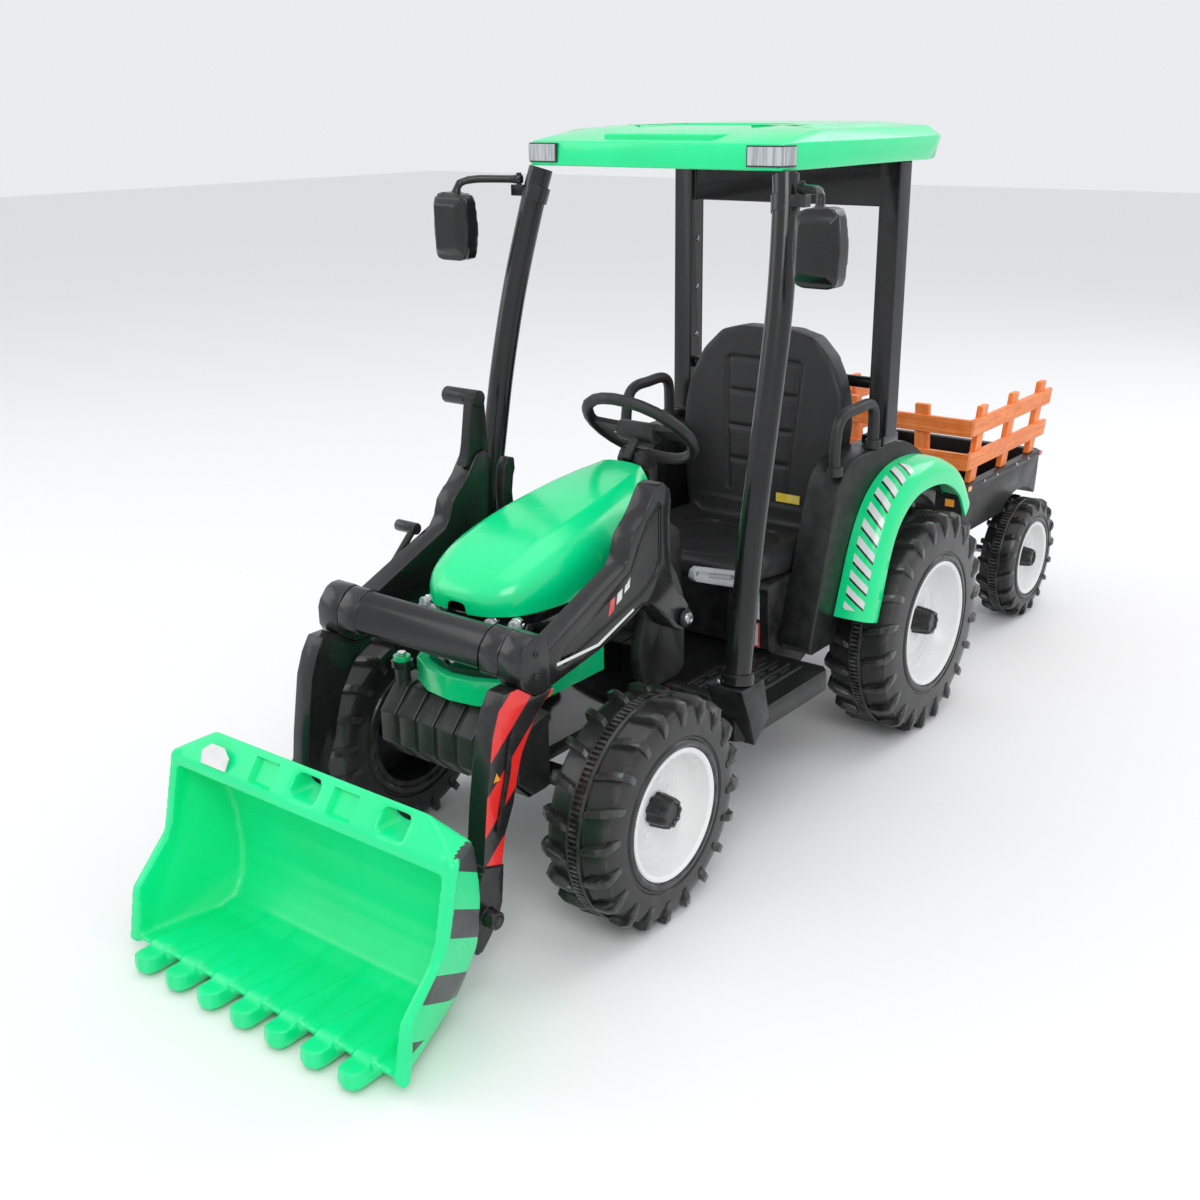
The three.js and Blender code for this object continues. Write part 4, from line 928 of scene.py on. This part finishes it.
    def cap(self, side: Side) -> bpy.types.Object:
        """The black lobed cap over the axle's end."""
        w = self.half_width
        base = 0.34 * w + 0.4
        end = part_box(self.axle_node(side))[1 if side is Side.LEFT else 0]
        height = max(0.22 * w, abs(end.x) / MM - self.x - base + 4)
        profile = [(0.5, base), (22, base), (22.5, base + 2), (20.5, base + 0.75 * height),
                   (18.5, base + height), (15, base + height + 0.8), (13.5, base + height - 2),
                   (6, base + height - 2.6), (0.5, base + height - 2.6)]
        size = 0.86 if self.name == "trailer" else 1.0
        profile = [(radius * size, across) for radius, across in profile]
        piece = Piece(f"{self.name}_hub_cap_{side.word}", f"{self.name}_wheel_{side.word}", "black_plastic",
                      self.finishes.arm)
        piece.turned(profile, self.centre(side), side.value, 96, 0,
                     lambda angle: 1 + 0.055 * math.tanh(3 * math.cos(9 * angle)))
        return piece.close()

    def make(self) -> None:
        """Makes both wheels."""
        for side in Side:
            self.tyre(side)
            self.rim(side)
            self.cap(side)


# ---------------------------------------------------------------- nose, hood and body


@dataclass
class Bodywork:
    """Nose, hood, engine, deck, seat box, side panels and fenders."""

    finishes: Finishes
    lip: float = 403.3
    skin: float = 5.0
    front: float = -97
    back: float = 262
    stations: tuple[Point, ...] = ((20, -97, 421), (48, -90, 434), (78, -62, 454), (93, -12, 477),
                                   (98, 60, 496), (93, 140, 511), (78, 210, 522), (56, 262, 530))

    def hood_section(self, half: float, y: float, top: float, inset: float) -> list[Vector]:
        """One arch across the hood, from the left lip over the crown to the right lip."""
        points = []
        steps = 36
        for k in range(steps + 1):
            angle = math.pi * k / steps
            across = math.cos(angle)
            reach = math.copysign(abs(across) ** 0.52, across)
            rise = math.sin(angle) ** 0.62
            fold = math.exp(-((abs(reach) - 0.58) / 0.07) ** 2)
            crease = 2.2 * fold * min(1.0, (y - self.front) / 60)
            x = (half - inset) * reach
            z = self.lip + (top - inset - self.lip) * rise + (crease if inset == 0 else 0)
            points.append(at(x, y, z))
        return points

    def hood(self) -> None:
        """The bright hood: a crowned shell with two soft creases."""
        line = smooth_line(self.stations, 4)
        sections = []
        for half, y, top in line:
            outer = self.hood_section(half, y, top, 0)
            inner = self.hood_section(half, min(max(y, self.front + 1), self.back), top, self.skin)
            sections.append(outer + inner[::-1])
        piece = Piece("hood_shell", "frame", "green_plastic", self.finishes.green)
        piece.skin(sections).close(["hood"], 1.2)

    def nose(self) -> None:
        """Green band, gloss panel with a plain badge, black core and four lamps under the hood."""
        finishes = self.finishes
        coat("nose_band", "frame", "green_plastic", finishes.green, 2.2, 3)
        coat("grille_panel", "frame", "gloss_black", finishes.gloss, 2.0, 3)
        coat("front_body", "frame", "black_plastic", finishes.gloss, 1.5)
        badge = Piece("nose_badge", "frame", "white_plastic", finishes.paper)
        badge.prism(Axis.Y, [(-8, 341), (-8, 355), (0, 361), (8, 355), (8, 341), (0, 336)], -110.2, -106)
        badge.close(edge=0.6)
        lamps = Piece("nose_lamps", "frame", "white_plastic", finishes.dome, finishes.chrome)
        for x, y in ((76, -71), (46, -83)):
            for side in Side:
                base = at(side.value * x, y + 8, 394)
                front = base + Vector((side.value * 3, -16, 0)) * MM
                lamps.tube([base, base.lerp(front, 0.55)], 9.2, 24, 1)
                lamps.tube([base.lerp(front, 0.5), base.lerp(front, 0.8), front], 7.6, 24, 0)
        lamps.close(edge=1.6, rows=3)

    def engine(self) -> None:
        """Ribbed crankcase with its oil cap, whose top is bright green round a chrome stud."""
        finishes = self.finishes
        coat("engine_block", "frame", "grey_plastic", finishes.engine, 2.4, 3)
        cap = Piece("oil_cap", "frame", "green_plastic", finishes.green, finishes.chrome, finishes.arm)
        cap.tube([at(-110, -92, 300), at(-110, -92, 309)], 15, 24, 2)
        cap.tube([at(-110, -92, 309), at(-110, -92, 316)], 12, 24, 0)
        cap.tube([at(-110, -92, 316), at(-110, -92, 321)], 6, 20, 1)
        cap.close(edge=0.8)

    def body(self) -> None:
        """Deck, seat box, side panels and the labels on the seat box."""
        finishes = self.finishes
        for node in ("chassis_shell", "floor_deck", "seat_box", "side_panel_left", "side_panel_right",
                     "dash_column", "loader_bracket_left", "loader_bracket_right"):
            coat(node, "frame", "black_plastic", finishes.black, 1.6)
        treads = Piece("deck_treads", "frame", "black_plastic", finishes.grip)
        for side in Side:
            for k in range(5):
                for row in range(4):
                    x = side.value * (122 + k * 20)
                    y = 285 + row * 38
                    bar = [(x - 2, y - 12), (x + 2, y - 12), (x + 2, y + 12), (x - 2, y + 12)]
                    treads.prism(Axis.Z, bar, 204, 206.6)
        treads.close(edge=0.6)
        self.labels()

    def labels(self) -> None:
        """Plain stickers on the seat box and behind the seat, without lettering."""
        finishes = self.finishes

        def on_box(piece: Piece, x0: float, x1: float, z0: float, z1: float, proud: float,
                   finish: int) -> None:
            """A thin sticker on the slanting front of the seat box."""
            corners = []
            for depth in (proud + 0.5, -0.5):
                corners.append([at(x, 440 - (z - 205.3) * 8 / 115.7 - depth + 0.5, z)
                                for x, z in ((x0, z0), (x1, z0), (x1, z1), (x0, z1))])
            piece.skin(corners, finish)

        piece = Piece("seat_box_labels", "frame", "white_plastic", finishes.paper, finishes.red,
                      finishes.yellow)
        on_box(piece, 92, 134, 262, 312, 0.5, 0)
        on_box(piece, 92, 134, 214, 256, 0.4, 1)
        on_box(piece, 95, 131, 217, 253, 0.8, 0)
        on_box(piece, -62, -24, 296, 314, 0.5, 2)
        piece.prism(Axis.Y, [(40, 392), (84, 392), (84, 406), (40, 406)], 635.2, 638.5, 2)
        piece.close(edge=0.2, rows=1)

    def fenders(self) -> None:
        """Strips over the rear wheels with a printed film on their outer slope."""
        finishes = self.finishes
        line = smooth_line([(0, 541, 252), (0, 558, 300), (0, 586, 372), (0, 622, 424), (0, 680, 459),
                            (0, 750, 468), (0, 824, 458), (0, 888, 424), (0, 930, 372)], 6)
        centre = Vector((0, 763, 189.3))
        section = [(205.3, 0), (205.3, -5), (220, -5), (236, -3), (247, 0), (253, 5), (256, 12), (257, 34),
                   (262, 34), (262, 14), (259, 5), (252, -3), (238, -8), (220, -9.5), (205.3, -9.6)]
        section = [(x, drop + 4.6) for x, drop in section]
        for side in Side:
            sections = []
            for point in line:
                inwards = (centre - point).normalized()
                sections.append([at(side.value * x, point.y + inwards.y * (drop + 5),
                                    point.z + inwards.z * (drop + 5)) for x, drop in section])
            fender = Piece(f"fender_{side.word}_skin", "frame", "green_plastic", finishes.arch)
            fender.skin(sections).close([f"fender_{side.word}"], 1.2)

    def make(self) -> None:
        """Makes the whole body."""
        self.hood()
        self.nose()
        self.engine()
        self.body()
        self.fenders()


@dataclass
class Seat:
    """Moulded seat: a rounded back with a centre panel of three channels, bolsters and a dished pan."""

    finishes: Finishes
    channel: float = 4.0
    channels: tuple[float, ...] = (452, 508, 566)
    seam: float = 62.0

    def groove(self, distance: float, width: float) -> float:
        """The depth share of a groove at a distance from its middle."""
        return math.exp(-(distance / width) ** 2)

    def press(self, place: Vector, normal: Vector) -> Vector:
        """How far a point of the seat moves to form its channels, seams and dish."""
        x, y, z = place.x / MM, place.y / MM + ORIGIN_Y_MM, place.z / MM
        seam_at = self.seam + (z - 500) * 0.06
        if normal.y < -0.5 and z > 385:
            depth = sum(self.groove(z - c, 3.4) for c in self.channels) if abs(x) < seam_at else 0
            side = self.groove(abs(x) - seam_at, 3.4) if 400 < z < 620 else 0
            top = self.groove(z - 620, 3.4) if abs(x) < seam_at else 0
            hollow = 0.35 * (1 - min(1, (x / 140) ** 2))
            return Vector((0, self.channel * MM * max(min(1, depth), side, top) + 6 * MM * hollow, 0))
        if normal.z > 0.6 and z < 360 and y < 600:
            dish = max(0.0, 1 - (x / 105) ** 2) * max(0.0, 1 - ((y - 520) / 95) ** 2)
            ring = self.groove(math.hypot(x / 105, (y - 520) / 92) - 1, 0.04)
            return Vector((0, 0, -MM * (7 * dish + 2.5 * ring)))
        return Vector((0, 0, 0))

    def make(self) -> None:
        """Softens the plain shape and presses the channels, the seams and the dish into it."""
        piece = Piece("seat_shell", "frame", "seat_plastic", self.finishes.seat)
        piece.take("seat").soften(3.4, 28).press(self.press).close(["seat"])


# ---------------------------------------------------------------- cab


@dataclass
class Cab:
    """Front posts, rear frame, roof, lamps, mirrors, rails and the driving controls."""

    finishes: Finishes
    post: tuple[Point, ...] = ((241, 201, 256), (239, 216, 350), (236, 234, 450), (235, 250, 530),
                               (234, 273, 640), (229, 302, 760), (216, 332, 880), (206, 346, 938))
    rail: tuple[Point, ...] = ((196, 540, 482), (196, 538, 520), (196, 546, 556), (196, 566, 569),
                               (196, 600, 571), (196, 640, 572), (196, 660, 560), (196, 664, 530),
                               (196, 664, 492))

    def posts(self) -> None:
        """Bowed round posts with a flange at the deck and a cup under the roof."""
        for side in Side:
            s = side.value
            line = [at(s * p.x, p.y, p.z) for p in smooth_line(self.post, 5) if 262.3 < p.z < 931.4]
            piece = Piece(f"front_post_{side.word}_skin", "frame", "black_plastic", self.finishes.arm)
            piece.tube(line, 18, 32)
            piece.tube([at(s * 241, 202, 262.5), at(s * 240.6, 203, 270), at(s * 240, 204, 276)], 23, 32)
            piece.tube([at(s * 215, 333, 880), at(s * 211, 339, 902)], 19.4, 32)
            piece.prism(Axis.Z, [(s * 226, 322), (s * 250, 322), (s * 250, 338), (s * 226, 338)], 888, 904)
            piece.tube([at(s * 240, 330, 902), at(s * 240, 330, 921)], 4, 16)
            piece.close([f"front_post_{side.word}"], 1.0)

    def frames(self) -> None:
        """Rear cab frame and the hand rails on the side panels."""
        coat("rear_cab_frame", "frame", "black_plastic", self.finishes.arm, 2.4, 3)
        for side in Side:
            s = side.value
            piece = Piece(f"handrail_{side.word}_skin", "frame", "black_plastic", self.finishes.grip)
            line = [at(s * p.x, p.y, max(p.z, 487)) for p in smooth_line(self.rail, 5)]
            piece.tube(line, 9, 20)
            for y, z in ((541, 478), (664, 498)):
                piece.tube([at(s * 196, y, z), at(s * 196, y, z + 14)], 12.5, 24)
            piece.close([f"handrail_{side.word}"], 1.0)

    def roof(self) -> None:
        """The green canopy with its rear hump, pressed panels and two corner lamps."""
        finishes = self.finishes
        roof = Piece("roof_shell", "frame", "green_plastic", finishes.green).take("roof")
        roof.close(["roof"], 2.5, 3)
        panels = Piece("roof_panels", "frame", "green_plastic", finishes.green)
        brow = ((-92, 344), (92, 344), (108, 405), (-108, 405))
        panels.skin([[at(x, y, z) for x, y in brow] for z in (966, 977)])
        for side in Side:
            s = side.value
            panels.skin([[at(s * x, y, z) for x, y in ((136, 450), (176, 458), (176, 700), (136, 712))]
                         for z in (978, 984.5)])
        panels.close(edge=3.0, rows=3)
        lamps = Piece("roof_lamps", "frame", "white_plastic", finishes.lamp, finishes.gloss)
        for side in Side:
            s = side.value
            for grow, low, high, finish in ((2.6, 936.5, 964, 1), (4.2, 938.5, 962, 0)):
                inset = 2.5 if finish == 0 else 0
                plan = [(160 + inset, 330), (160 + inset, 323.4 - grow), (212, 324.4 - grow),
                        (216.5 + grow, 351 - inset), (214, 352 - inset)]
                lamps.skin([[at(s * x, y, z) for x, y in plan] for z in (low, high)], finish)
        lamps.close(edge=0.9)

    def mirrors(self) -> None:
        """Mirror housings with their glass on the driver's side."""
        for side in Side:
            s = side.value
            body = f"mirror_{side.word}_body"
            shell = Piece(f"mirror_{side.word}_skin", body, "gloss_black", self.finishes.arm)
            shell.take(f"mirror_{side.word}").soften(1.8, 10).close([f"mirror_{side.word}"])
            glass = Piece(f"mirror_{side.word}_glass", body, "gloss_black", self.finishes.glass,
                          self.finishes.paper)
            face = [(281, 806), (329, 804), (334, 848), (328, 886), (286, 884), (280, 842)]
            glass.prism(Axis.Y, [(s * x, z) for x, z in face], 275.6, 277.2, 1)
            smaller = [(s * (x + (307 - x) * 0.05), z + (846 - z) * 0.05) for x, z in face]
            glass.prism(Axis.Y, smaller, 276.6, 277.8)
            glass.close(edge=0.4)

    def controls(self) -> None:
        """Steering wheel, pedal and the slotted gear lever."""
        finishes = self.finishes
        coat("steering_wheel", "steering", "black_plastic", finishes.grip, 1.2)
        coat("foot_pedal", "pedal", "black_plastic", finishes.grip, 1.0)
        coat("gear_lever", "gear", "grey_plastic", finishes.silver, 0.9)

    def make(self) -> None:
        """Makes the whole cab."""
        self.posts()
        self.frames()
        self.roof()
        self.mirrors()
        self.controls()


# ---------------------------------------------------------------- loader


@dataclass
class Loader:
    """Arms, legs, cross tube, lever, tilt rod and the scoop."""

    finishes: Finishes
    tooth_pitch: float = 61.1
    teeth: int = 7
    outer: float = 171.0

    def arms(self) -> None:
        """Arms, legs and cross tube, with printed bars on the arm and bands on the leg."""
        finishes = self.finishes
        for side in Side:
            s = side.value
            coat(f"boom_{side.word}", "loader", "black_plastic", finishes.arm, 1.8, 3)
            leg = Piece(f"leg_{side.word}_skin", "loader", "black_plastic", finishes.arm, finishes.leg_bands)
            leg.take(f"leg_{side.word}").paint(1, lambda face: face.normal.x * s > 0.9
                                               and face.calc_center_median().z > 0.15
                                               and abs(face.calc_center_median().x) < 0.1715)
            leg.close([f"leg_{side.word}"], 1.8, 3)
            rib = Piece(f"leg_{side.word}_rib", "loader", "black_plastic", finishes.arm, finishes.amber)
            low, high = sorted((s * self.outer, s * (self.outer + 4)))
            ridge = [(-197, 312), (-190, 316), (-200, 262), (-222, 196), (-227, 198), (-208, 262)]
            rib.prism(Axis.X, ridge, low, high)
            low, high = sorted((s * self.outer, s * (self.outer + 0.6)))
            rib.prism(Axis.X, [(-226, 262), (-214, 262), (-220, 273)], low, high, 1)
            rib.close(edge=0.5)
            film = Piece(f"boom_{side.word}_film", "loader", "white_plastic", finishes.paper, finishes.red)
            for k in range(3):
                y = 6 + k * 17
                z = 402 + k * 11
                bar = [(y, z), (y + 11, z + 5), (y + 15, z + 31), (y + 4, z + 25)]
                low, high = sorted((s * (self.outer - 4.2), s * (self.outer - 3.5)))
                film.prism(Axis.X, bar, low, high, 1 if k == 0 else 0)
            lower = [(-104, 371), (-20, 371), (56, 397), (54, 400), (-22, 375), (-104, 375)]
            film.prism(Axis.X, lower, *sorted((s * self.outer, s * (self.outer + 0.5))))
            film.close()
        coat("cross_tube", "loader", "black_plastic", finishes.arm, 3.0, 3)
        coat("lift_lever", "loader", "black_plastic", finishes.black, 1.4)
        coat("tilt_rod", "tilt_bar", "tube_steel", finishes.arm, 0.8)

    def flutes(self, place: Vector, normal: Vector) -> Vector:
        """The raised tongue behind each tooth, the pockets in the top border and the crown of the back."""
        x, y, z = place.x / MM, place.y / MM + ORIGIN_Y_MM, place.z / MM
        if normal.z > 0.6 and y < -330 and z < 70 and abs(x) < 222:
            share = min(1.0, max(0.0, (-y - 345) / 110))
            off = abs((x / self.tooth_pitch + self.teeth / 2) % 1 - 0.5) * self.tooth_pitch
            width = 3 + 15 * share
            height = 7.0 * share ** 0.6 / (1 + math.exp((off - width) / 1.2))
            return Vector((0, 0, height * MM))
        for pocket in (-76, 61):
            if abs(x - pocket) < 19 and 246 < z < 270 and y < -352 and normal.y < -0.3:
                return Vector((0, 7 * MM, -2 * MM))
        return Vector((0, 0, 0))

    def banded(self, face: bmesh.types.BMFace) -> bool:
        """Whether a face is on the outside of a cheek, clear of the cutting edge."""
        middle = face.calc_center_median()
        outward = face.normal.x * middle.x > 0 and abs(face.normal.x) > 0.5
        clear = middle.z > 0.04 or middle.y > at(0, -350, 0).y
        return outward and clear and 0.188 < abs(middle.x) < 0.2405

    def scoop(self) -> None:
        """The bright scoop with soft moulded edges, side bands and a plain plate on its top border."""
        finishes = self.finishes
        piece = Piece("bucket_shell", "scoop", "green_plastic", finishes.scoop, finishes.scoop_bands)
        piece.take("bucket").soften(3.2, 6).press(self.flutes)
        piece.shape.normal_update()
        piece.paint(1, self.banded)
        piece.close(["bucket"])
        plate = Piece("bucket_plate", "scoop", "white_plastic", finishes.paper)
        face = [(-182, 247), (-136, 247), (-134, 262), (-146, 272), (-170, 272), (-184, 262)]
        plate.skin([[at(x, -376.5 + (z - 248) * 14 / 38 - depth, z) for x, z in face] for depth in (0.9, -2)])
        plate.close(edge=0.5)

    def make(self) -> None:
        """Makes the loader."""
        self.arms()
        self.scoop()


# ---------------------------------------------------------------- trailer and running gear


@dataclass
class Trailer:
    """Tub, board fence, drawbar and reflectors."""

    finishes: Finishes
    half: float = 166.0
    front: float = 1116.0
    rear: float = 1500.0
    foot: float = 331.3
    top: float = 480.0
    rails: tuple[tuple[float, float], ...] = ((361, 394), (427, 460))
    board: float = 9.0

    def lean(self, z: float) -> float:
        """How far the fence leans out at a height."""
        return (z - self.foot) * 0.1

    def fence(self) -> None:
        """Two rows of boards on three sides and eight posts, with the grain along each board."""
        boards = self.finishes.boards
        piece = Piece("fence_boards", "trailer", "orange_plastic", boards[Axis.Y], boards[Axis.X],
                      boards[Axis.Z])
        for low, high in self.rails:
            section = ((low, 0), (high, 0), (high, self.board), (low, self.board))
            for s in (-1, 1):
                sections = []
                for y in (self.front + 2, self.rear):
                    sections.append([at(s * (self.half + self.lean(z) - inset),
                                        y - (self.lean(z) if y < 1200 else 0), z) for z, inset in section])
                piece.skin(sections)
            sections = []
            for s in (-1, 1):
                sections.append([at(s * (self.half + self.lean(z)), self.front - self.lean(z) + inset, z)
                                 for z, inset in section])
            piece.skin(sections, 1)
        post = ((-15, -14), (-3.5, -14), (-3.5, 14), (-15, 14))
        ends = ((self.foot, 0), (self.top, self.lean(self.top)))
        for s in (-1, 1):
            for y in (1160, 1310, 1452):
                piece.skin([[at(s * (self.half + shift + depth), y + side, z) for depth, side in post]
                            for z, shift in ends], 2)
            piece.skin([[at(s * 74 + side, self.front - shift - depth, z) for depth, side in post]
                        for z, shift in ends], 2)
        piece.close(["trailer_fence"], 1.6, 3)

    def tub(self) -> None:
        """Black tub with small reflectors on its corners, and the drawbar below."""
        finishes = self.finishes
        for node in ("trailer_tub", "drawbar"):
            coat(node, "trailer", "black_plastic", finishes.black, 2.0)
        marks = Piece("trailer_reflectors", "trailer", "orange_plastic", finishes.amber, finishes.red)
        for s in (-1, 1):
            for y0, finish in ((1122, 0), (1478, 1)):
                low, high = sorted((s * (self.half + 4.6), s * (self.half + 6.2)))
                plate = [(y0, 320.5), (y0 + 15, 320.5), (y0 + 15, 329.5), (y0, 329.5)]
                marks.prism(Axis.X, plate, low, high, finish)
            plate = [(s * 150, 290), (s * 132, 290), (s * 132, 304), (s * 150, 304)]
            marks.prism(Axis.Y, plate, 1110.4, 1113, 0)
        marks.close(edge=0.5)

    def make(self) -> None:
        """Makes the trailer."""
        self.fence()
        self.tub()


@dataclass
class RunningGear:
    """Axles, knuckles, gear boxes and the hitch, mostly in shadow, and every screw that shows."""

    finishes: Finishes
    fasteners: Fasteners

    def make(self) -> None:
        """Gives the load-carrying pieces rounded edges and fits the screws."""
        finishes = self.finishes
        rows = [("front_axle_beam", "frame", "steel", finishes.black),
                ("rear_axle", "frame", "steel", finishes.steel),
                ("gearbox_left", "frame", "grey_plastic", finishes.engine),
                ("gearbox_right", "frame", "grey_plastic", finishes.engine),
                ("tow_hitch", "frame", "steel", finishes.black),
                ("battery", "frame", "battery_case", finishes.engine),
                ("knuckle_left", "knuckle_left_body", "steel", finishes.steel),
                ("knuckle_right", "knuckle_right_body", "steel", finishes.steel),
                ("tie_rod", "tie_bar", "steel", finishes.steel),
                ("trailer_axle", "trailer", "steel", finishes.steel)]
        for node, body, slot, finish in rows:
            coat(node, body, slot, finish, 0.8)
        self.screws()

    def screws(self) -> None:
        """Screws on the cab, the arms, the deck and the trailer."""
        fit = self.fasteners.fit
        cab = []
        for side in Side:
            s = side.value
            for z in (560, 640, 720, 800, 880):
                cab.append((at(s * 171 - s * 0.4, 708, z), (-s, 0.0, 0.0)))
            cab.append((at(s * 222, 204 - 22, 266), (0.0, -1.0, 0.0)))
            cab.append((at(s * 178, 696, 507), (0.0, 0.0, 1.0)))
        fit("cab_screws", "frame", 4.2, cab)
        pivots = [(at(s.value * 177.6, 172, 352), (float(s.value), 0.0, 0.0)) for s in Side]
        fit("lift_pivot_bolts", "frame", 9.0, pivots)
        arm = [(at(s.value * 175.4, y, z), (float(s.value), 0.0, 0.0))
               for s in Side for y, z in ((-148, 402), (-148, 372))]
        fit("arm_screws", "loader", 4.0, arm, False)
        tub = [(at(s * 171.2, y, 326), (float(s), 0.0, 0.0))
               for s in (-1, 1) for y in (1200, 1260, 1360, 1420)]
        fit("tub_screws", "trailer", 3.2, tub)
        bpy.data.objects.remove(self.fasteners.head)


# ---------------------------------------------------------------- stage


@dataclass
class Stage:
    """Pale floor, soft studio light and the camera."""

    eye: Point = (1.1844, -1.8475, 1.0208)
    azimuth: float = 37.53
    down: float = 19.5
    roll: float = -0.0091
    lens: float = 42.32
    floor_size: float = 30.0

    def camera(self) -> None:
        """The camera, which looks down at the tractor's left front corner."""
        data = bpy.data.cameras.new("camera")
        data.lens = self.lens
        data.sensor_width = 36.0
        camera = show(bpy.data.objects.new("camera", data))
        a, e = math.radians(self.azimuth), math.radians(self.down)
        back = Vector((math.sin(a) * math.cos(e), -math.cos(a) * math.cos(e), math.sin(e)))
        camera.location = self.eye
        camera.rotation_mode = "QUATERNION"
        camera.rotation_quaternion = (-back).to_track_quat("-Z", "Y") @ Quaternion((0, 0, 1), self.roll)
        bpy.context.scene.camera = camera

    def floor(self) -> None:
        """A plain pale floor."""
        half = self.floor_size / 2
        mesh = bpy.data.meshes.new("floor")
        corners = [(-half, -half, 0), (half, -half, 0), (half, half, 0), (-half, half, 0)]
        mesh.from_pydata(corners, [], [(0, 1, 2, 3)])
        material = bpy.data.materials.new("pale_floor")
        material.use_nodes = True
        shader = material.node_tree.nodes["Principled BSDF"]
        shader.inputs["Base Color"].default_value = (0.86, 0.86, 0.86, 1)
        shader.inputs["Roughness"].default_value = 0.8
        mesh.materials.append(material)
        floor = show(bpy.data.objects.new("floor", mesh))

    def light(self, name: str, place: Point, size: float, power: float) -> None:
        """One soft area light that faces the middle of the tractor."""
        data = bpy.data.lights.new(name, "AREA")
        data.shape = "SQUARE"
        data.size = size
        data.energy = power
        lamp = show(bpy.data.objects.new(name, data))
        lamp.location = place
        aim = Vector((0, 0, 0.4)) - Vector(place)
        lamp.rotation_euler = aim.to_track_quat("-Z", "Y").to_euler()

    def make(self) -> None:
        """Sets the stage."""
        self.camera()
        self.floor()
        self.light("key", (2.4, -3.0, 3.4), 2.0, 62)
        self.light("fill", (-3.4, -2.2, 2.4), 2.4, 24)
        self.light("rim", (1.0, 3.6, 3.0), 2.2, 32)
        self.light("top", (0.0, 0.0, 4.2), 3.0, 26)
        world = bpy.data.worlds.new("studio")
        world.use_nodes = True
        world.node_tree.nodes["Background"].inputs["Color"].default_value = (0.96, 0.97, 1.0, 1)
        world.node_tree.nodes["Background"].inputs["Strength"].default_value = 0.86
        bpy.context.scene.world = world
        bpy.context.scene.view_settings.view_transform = "Standard"


def main() -> None:
    """Builds every sub-assembly in order."""
    logging.basicConfig(level=logging.INFO, format="%(name)s: %(message)s")
    Stage().make()
    finishes = Finishes()
    ring = RingRepeater()
    wheels = [Wheel("front", 91, 52, 228, 0, 156.22, 20, finishes, ring),
              Wheel("rear", 108, 57, 226, 763, 189.31, 22, finishes, ring, 160),
              Wheel("trailer", 77, 37, 171, 1400, 125.10, 18, finishes, ring, 108, 1.9)]
    for wheel in wheels:
        wheel.make()
    Bodywork(finishes).make()
    Seat(finishes).make()
    Cab(finishes).make()
    Loader(finishes).make()
    Trailer(finishes).make()
    RunningGear(finishes, Fasteners(AimedRepeater(), finishes)).make()


if __name__ == "__main__":
    main()
